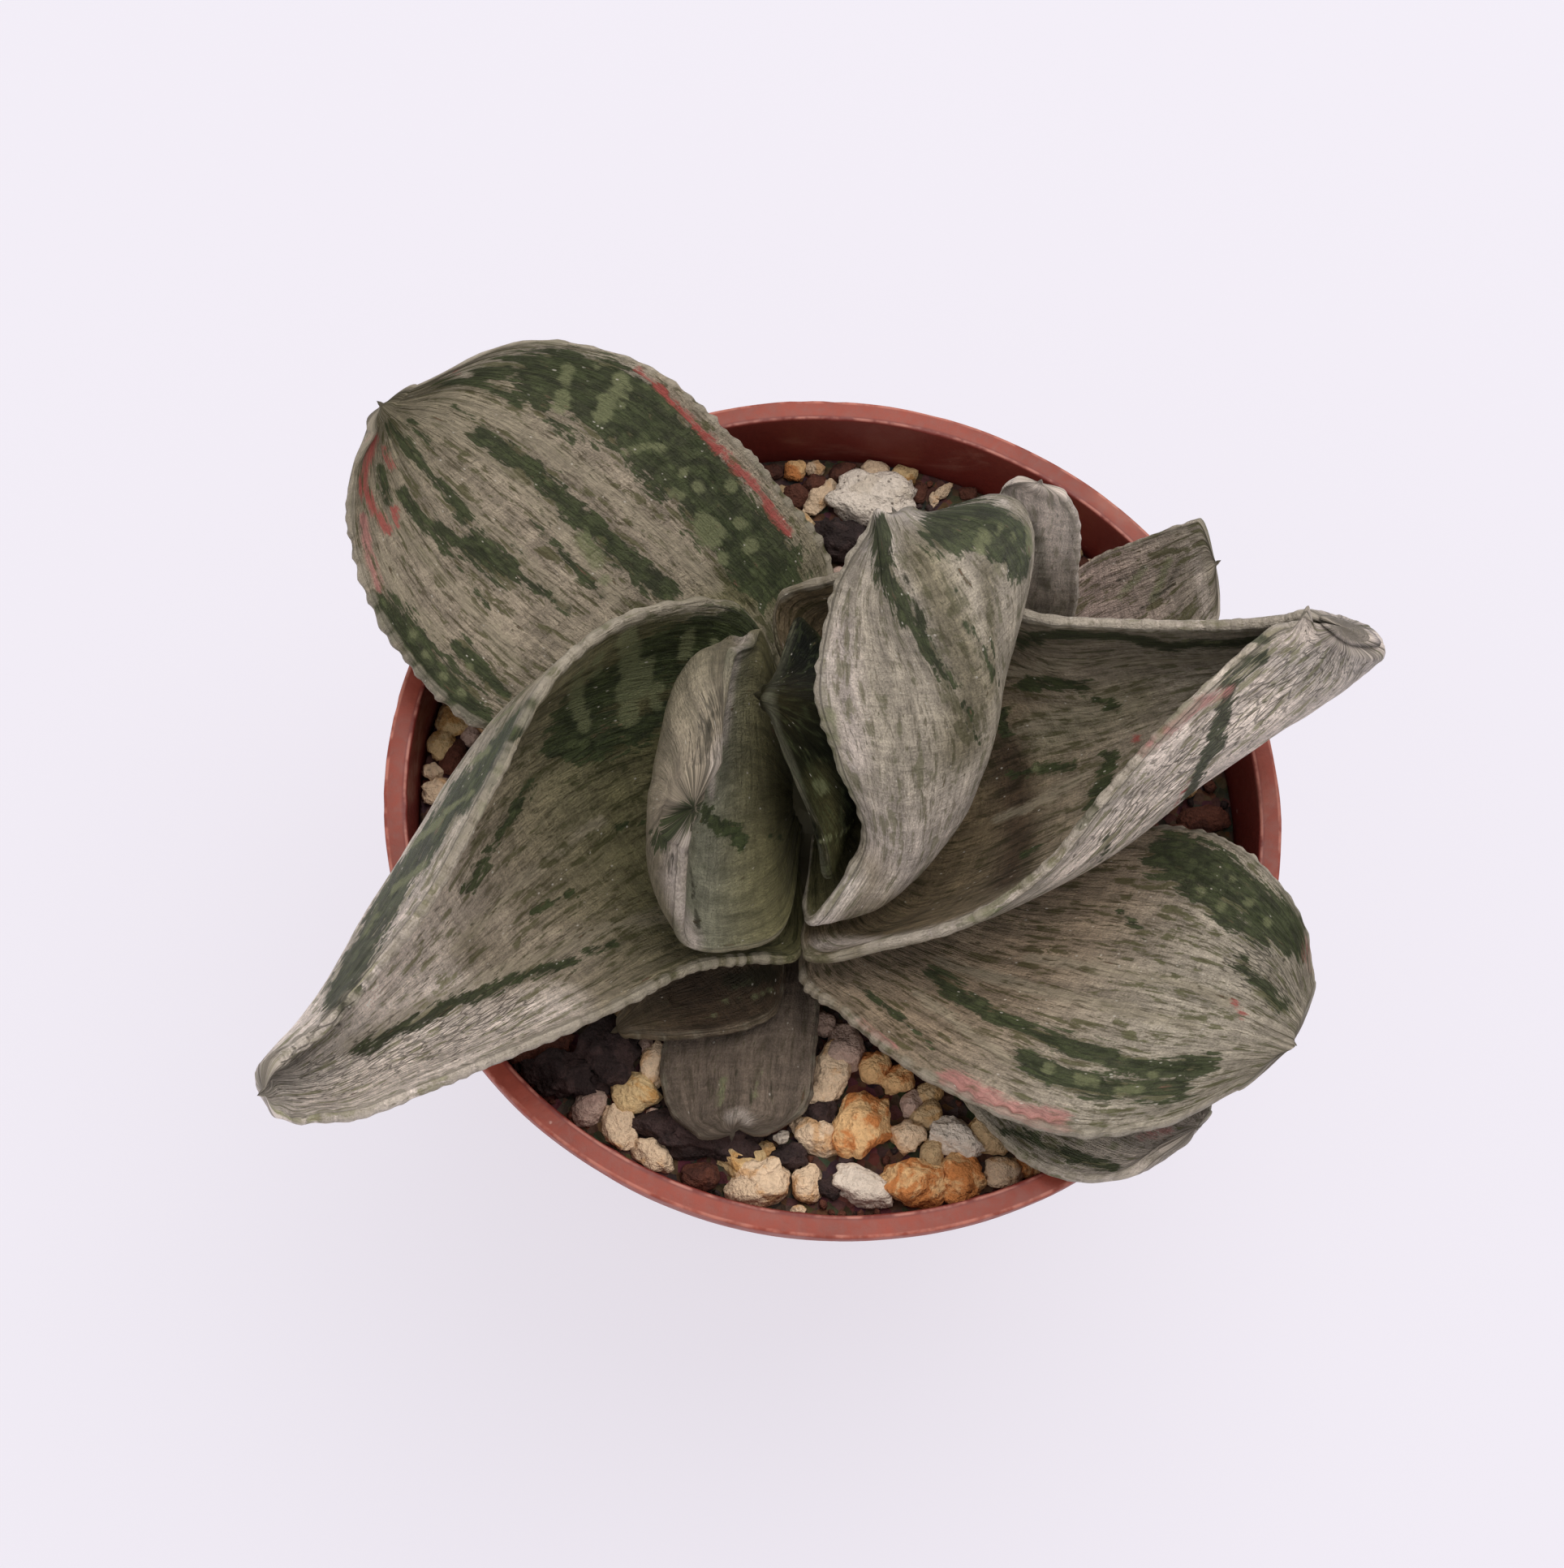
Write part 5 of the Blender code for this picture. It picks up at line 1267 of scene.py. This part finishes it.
def make_pot():
    collar = RIM_RADIUS - COLLAR_OVERHANG
    profile = [
        (0.0, BASE_THICKNESS),
        (wall_radius(BASE_THICKNESS), BASE_THICKNESS),
        (wall_radius(STEP_HEIGHT), STEP_HEIGHT),
        (LIP_RADIUS, POT_HEIGHT),
        (RIM_RADIUS, POT_HEIGHT),
        (RIM_RADIUS, POT_HEIGHT - LIP_THICKNESS),
        (collar, POT_HEIGHT - LIP_THICKNESS),
        (collar - COLLAR_TAPER, STEP_HEIGHT),
        (collar - COLLAR_TAPER - COLLAR_STEP, STEP_HEIGHT - COLLAR_STEP),
        (BASE_RADIUS, BASE_CHAMFER),
        (BASE_RADIUS - BASE_CHAMFER, 0.0),
        (0.0, 0.0),
    ]
    angles = np.linspace(0.0, math.tau, POT_SIDES, endpoint=False)
    x, y = np.cos(angles), np.sin(angles)
    nick = np.minimum(ripple(60 * x, 60 * y, POT_SEED + 1) + NICK_FROM, 0.0)
    loops = []
    for radius, height in pitched(rounded(profile, CORNER_RADIUS), WALL_RING_PITCH)[1:-1]:
        wave = POT_WAVE * ripple(9 * x, 9 * y + height / 5, POT_SEED)
        near = math.exp(-(((height - POT_HEIGHT) / LIP_REACH) ** 2))
        wide = radius + (wave + NICK_DEPTH * near * nick) * min(1.0, max(0.0, height - 2.0))
        tall = height + LIP_WAVE * near * ripple(4 * x, 4 * y, POT_SEED + 2)
        loops.append(np.stack([wide * x, wide * y, tall], axis=1))
    piece = piece_of("pot_shell", *turned(loops), "pot", "pot", pot_finish())
    ends = np.linspace(0.0, math.tau, DRAIN_SIDES, endpoint=False)
    circle = DRAIN_RADIUS * np.stack([np.cos(ends), np.sin(ends), 0 * ends], axis=1)
    for angle in math.tau * np.arange(DRAIN_HOLES) / DRAIN_HOLES:
        ahead = np.array([math.cos(angle), math.sin(angle), 0.0])
        beside = 0.5 * DRAIN_GROOVE_WIDTH * np.array([-math.sin(angle), math.cos(angle), 0.0])
        near, far = DRAIN_CIRCLE * ahead, (BASE_RADIUS + 2 * BASE_CHAMFER) * ahead
        hole = near + circle
        cut_away(piece, hole - (0.0, 0.0, BASE_THICKNESS), hole + (0.0, 0.0, 2 * BASE_THICKNESS))
        mouth = np.array([near - beside, far - beside, far + beside, near + beside])
        cut_away(piece, mouth - (0.0, 0.0, 1.0), mouth + (0.0, 0.0, DRAIN_GROOVE_DEPTH))
    piece.data.shade_smooth()


def soil_height(radius):
    """The filling's level below the rim: lower round the crown than at the wall."""
    return np.interp(radius, (SOIL_DISH, SOIL_SHOULDER), (SOIL_CROWN, SOIL_TOP))


def soil_finish():
    g = Graph("soil")
    place = g.place()
    mottle = g.noise(place, 500.0, 5.0, 0.65)
    grains = g.cells(place, 1100.0, "F1", "Color")
    base = g.mix(g.span(mottle, 0.35, 0.65), *(screen(colour) for colour in SOIL_COLOURS))
    base = g.mix(0.35, base, g.tinted(grains, screen(SOIL_GRAINS)))
    g.bump(g.plus(mottle, g.cells(place, 1100.0)), 0.0006, 0.9)
    return g.finish(base, 0.85)


def make_soil():
    """The filling under the stones: one closed body round the stem's hole."""
    angles = np.linspace(0.0, math.tau, SOIL_SIDES, endpoint=False)
    ring = np.stack([np.cos(angles), np.sin(angles)], axis=1)
    edge = POT_HEIGHT + SOIL_TOP
    rim = wall_radius(edge) - SOIL_GAP
    centre = np.asarray(STEM_PLACE)
    hole = STEM_HOLE[-1][1]
    loops = []
    for height, radius in STEM_HOLE:
        loops.append(np.column_stack([centre + radius * ring, 0 * angles + POT_HEIGHT + height]))
    for share in np.linspace(0.0, 1.0, SOIL_RINGS):
        flat = (1 - share) * centre + (hole + (rim - hole) * share) * ring
        x, y = flat.T
        layers = enumerate(SOIL_ROUGH, SOIL_SEED)
        rough = sum(size * ripple(x / pitch, y / pitch, seed) for seed, (pitch, size) in layers)
        rough = rough * min(1.0, 12 * share, 30 * (1 - share)) - 0.25 * fade(np.full(1, share), 0.97, 1.0)
        loops.append(np.column_stack([flat, POT_HEIGHT + soil_height(np.hypot(x, y)) + rough]))
    for height in (edge - 1.0, STEP_HEIGHT, BASE_THICKNESS + SOIL_GAP):
        loops.append(np.column_stack([(wall_radius(height) - SOIL_GAP) * ring, 0 * angles + height]))
    piece_of("soil_bed", *turned(loops), "substrate", "substrate", soil_finish())


def stone_shape(rounds, rough, seed):
    """A stone about one unit across: a rounded block with flat sides, knobs and pits."""
    draw = random.Random(seed)
    ball = bmesh.new()
    bmesh.ops.create_icosphere(ball, subdivisions=rounds, radius=1.0)
    ball.verts.ensure_lookup_table()
    ways = np.array([vertex.co[:] for vertex in ball.verts])
    faces = [[vertex.index for vertex in face.verts] for face in ball.faces]
    ball.free()
    total = np.zeros(len(ways))
    for _ in range(STONE_PLANES):
        plane = unit(np.array([draw.gauss(0, 1), draw.gauss(0, 1), draw.gauss(0, 1)]))
        total += np.maximum(ways @ plane / draw.uniform(*STONE_FLATS), 0.0) ** STONE_SHARPNESS
    size = 0.5 * np.minimum(total ** (-1.0 / STONE_SHARPNESS), STONE_REACH)
    shift = Vector((draw.uniform(0, 90), draw.uniform(0, 90), draw.uniform(0, 90)))

    def swell(way):
        """How far the stone stands out from its block on the side of a direction."""
        knob = noise.noise(1.7 * way + shift) + 0.6 * noise.noise(3.6 * way + shift)
        pit = max(0.0, noise.noise(6.5 * way + shift) - 0.2)
        return 2.0 * rough * knob - 2.4 * rough * pit + 0.03 * noise.noise(9.0 * way + shift)

    bumps = np.array([swell(Vector(way)) for way in ways])
    return ways * (size * (1.0 + bumps))[:, None], faces


def shape_sets(rounds, seed):
    """Four shapes of each kind of stone."""
    return {
        kind: [stone_shape(rounds, values[4], 7 * turn + seed) for turn in range(4)]
        for kind, values in STONE_KINDS.items()
    }


def stones_finish():
    """Each stone in its own colour, with stains and dark specks."""
    g = Graph("stones")
    place = g.place()
    tone, specks = g.colour("tone")
    stain, stained = g.colour("stain")
    mottle = g.noise(place, 380.0, 4.0, 0.6, 0.4)
    grain = g.noise(place, 1800.0, 3.0, 0.6)
    patches = g.span(g.plus(g.about(mottle, 0.36, 0.64), stained), 0.35, 0.95)
    base = g.mix(g.times(patches, 0.85), tone, stain)
    base = g.shade(base, g.span(grain, 0.3, 0.7, 0.86, 1.08))
    patchy = g.span(g.noise(place, 700.0), 0.45, 0.6)
    dots = g.times(g.span(g.cells(place, 1500.0), 0.3, 0.15), patchy, specks, 0.8)
    base = g.mix(dots, base, screen(SPECK_COLOUR))
    g.bump(g.plus(grain, g.times(mottle, 0.9)), 0.0006, 1.0)
    return g.finish(base, 0.82, 0.3)


class Heap:
    """Stones gathered into one piece, each with its own colours."""

    def __init__(self):
        self.points, self.faces, self.tones, self.stains = [], [], [], []
        self.count = 0

    def add(self, shape, centre, size, turn, tilt, kind, shade):
        ways, faces = shape
        colour, stain, stained, specks, _ = STONE_KINDS[kind]
        spin = (Matrix.Rotation(math.radians(turn), 3, "Z") @ Matrix.Rotation(tilt, 3, "X")).transposed()
        self.points.append((ways * np.asarray(size)) @ np.asarray(spin) + np.asarray(centre))
        self.faces += [[self.count + index for index in face] for face in faces]
        self.count += len(ways)
        self.tones.append(np.tile([*(STONE_GAIN * shade * linear(colour)), specks], (len(ways), 1)))
        self.stains.append(np.tile([*(STONE_GAIN * shade * linear(stain)), stained], (len(ways), 1)))

    def build(self, name, finish):
        piece = piece_of(name, np.concatenate(self.points), self.faces, "substrate", "substrate", finish)
        store(piece, "tone", "FLOAT_COLOR", np.concatenate(self.tones))
        store(piece, "stain", "FLOAT_COLOR", np.concatenate(self.stains))


def on_soil(x, y):
    """Where the camera's ray through a pixel of the photograph meets the stones, from the rim's middle."""
    way = rays([(x, y)])[0]
    share = (SOIL_TOP + STONE_LEVEL - EYE[2]) / way[2]
    return EYE[0] + share * way[0], EYE[1] + share * way[1]


def lay_listed(finish, draw, wall):
    """Lays the stones of the photograph in their places, and lists where they are."""
    taken = []
    heap = Heap()
    for index, (kind, x, y, length, width, turn) in enumerate(STONES):
        length, width = length / STONE_PIXELS, width / STONE_PIXELS
        shade = draw.uniform(0.94, 1.04) * (BACK_SHADE if y < BACK_STONES else 1.0)
        x, y = on_soil(x, y)
        out = math.hypot(x, y)
        most = wall - 0.45 * max(length, width)
        if out > most:
            x, y = x * most / out, y * most / out
        tall = 0.8 * min(length, width)
        shape = stone_shape(4 if length > FINE_STONE else 3, STONE_KINDS[kind][4], index)
        height = POT_HEIGHT + float(soil_height(out)) + (0.5 - STONE_SUNK) * tall + 0.3 * draw.random()
        size = (1.04 * length, 1.04 * width, tall)
        heap.add(shape, (x, y, height), size, turn, 0.0, kind, shade)
        taken.append((x, y, 0.5 * (length + width) / 2))
    heap.build("large_stones", finish)
    return taken


def lay_filling(finish, draw, wall, taken, trees):
    """Strews stones at random over the rest of the filling, clear of the leaves, the stem and each other."""
    shapes, small = shape_sets(2, 100), shape_sets(1, 300)
    heap = Heap()
    for size, tries in FILL_SIZES:
        crumbs = size <= CRUMB_SIZE
        for _ in range(tries):
            radius = (wall - 0.5 * size) * math.sqrt(draw.random())
            angle = math.tau * draw.random()
            x, y = radius * math.cos(angle), radius * math.sin(angle)
            half = 0.5 * size * draw.uniform(0.8, 1.1)
            turn, tilt = draw.uniform(0, 360), draw.uniform(-0.4, 0.4)
            kind = draw.choice(DARK_KINDS if crumbs else FILL_KINDS)
            shape = draw.choice((small if crumbs else shapes)[kind])
            shade = draw.uniform(0.85, 1.08)
            place = (x, y, POT_HEIGHT + float(soil_height(radius)) + 0.3 * half)
            if math.dist((x, y), STEM_PLACE) < STEM_HOLE[-1][1] + half:
                continue
            if any(math.dist((x, y), other[:2]) < 0.86 * (half + other[2]) for other in taken):
                continue
            if any(tree.find_nearest(Vector(place), 1.05 * half)[0] is not None for tree in trees):
                continue
            taken.append((x, y, half))
            heap.add(shape, place, (2 * half, 1.7 * half, 1.5 * half), turn, tilt, kind, shade)
    heap.build("small_stones", finish)


def make_stones(trees):
    draw = random.Random(FILL_SEED)
    finish = stones_finish()
    wall = wall_radius(POT_HEIGHT + SOIL_TOP) - SOIL_GAP
    taken = lay_listed(finish, draw, wall)
    lay_filling(finish, draw, wall, taken, trees)


def make_floor():
    far = FLOOR_REACH
    corners = [(-far, -far, 0), (far, -far, 0), (far, far, 0), (-far, far, 0)]
    floor = placed("floor", mesh_of("floor", corners, [(0, 1, 2, 3)]))
    floor.location.z = MM * FLOOR_LEVEL
    g = Graph("paper")
    mottle = g.noise(g.place(), 6.0)
    g.put(g.shader.inputs["Emission Color"], screen(FLOOR_GLOW_COLOUR))
    g.put(g.shader.inputs["Emission Strength"], FLOOR_GLOW)
    floor.data.materials.append(g.finish(g.shade(FLOOR_TONE, g.span(mottle, 0.3, 0.7, 0.985, 1.0)), 0.9))


def finish_stem():
    """The stem's solid shows as it is, in its own colour."""
    g = Graph("stem_finish")
    mottle = g.noise(g.place(), 300.0, 4.0, 0.6)
    finish = g.finish(g.shade(screen(STEM_COLOUR), g.span(mottle, 0.3, 0.7, 0.85, 1.12)), 0.7)
    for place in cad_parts["stem"].material_slots:
        place.material = finish


def main():
    make_camera()
    make_light()
    make_floor()
    trees = make_leaves()
    make_pot()
    make_soil()
    make_stones(trees)
    finish_stem()


main()
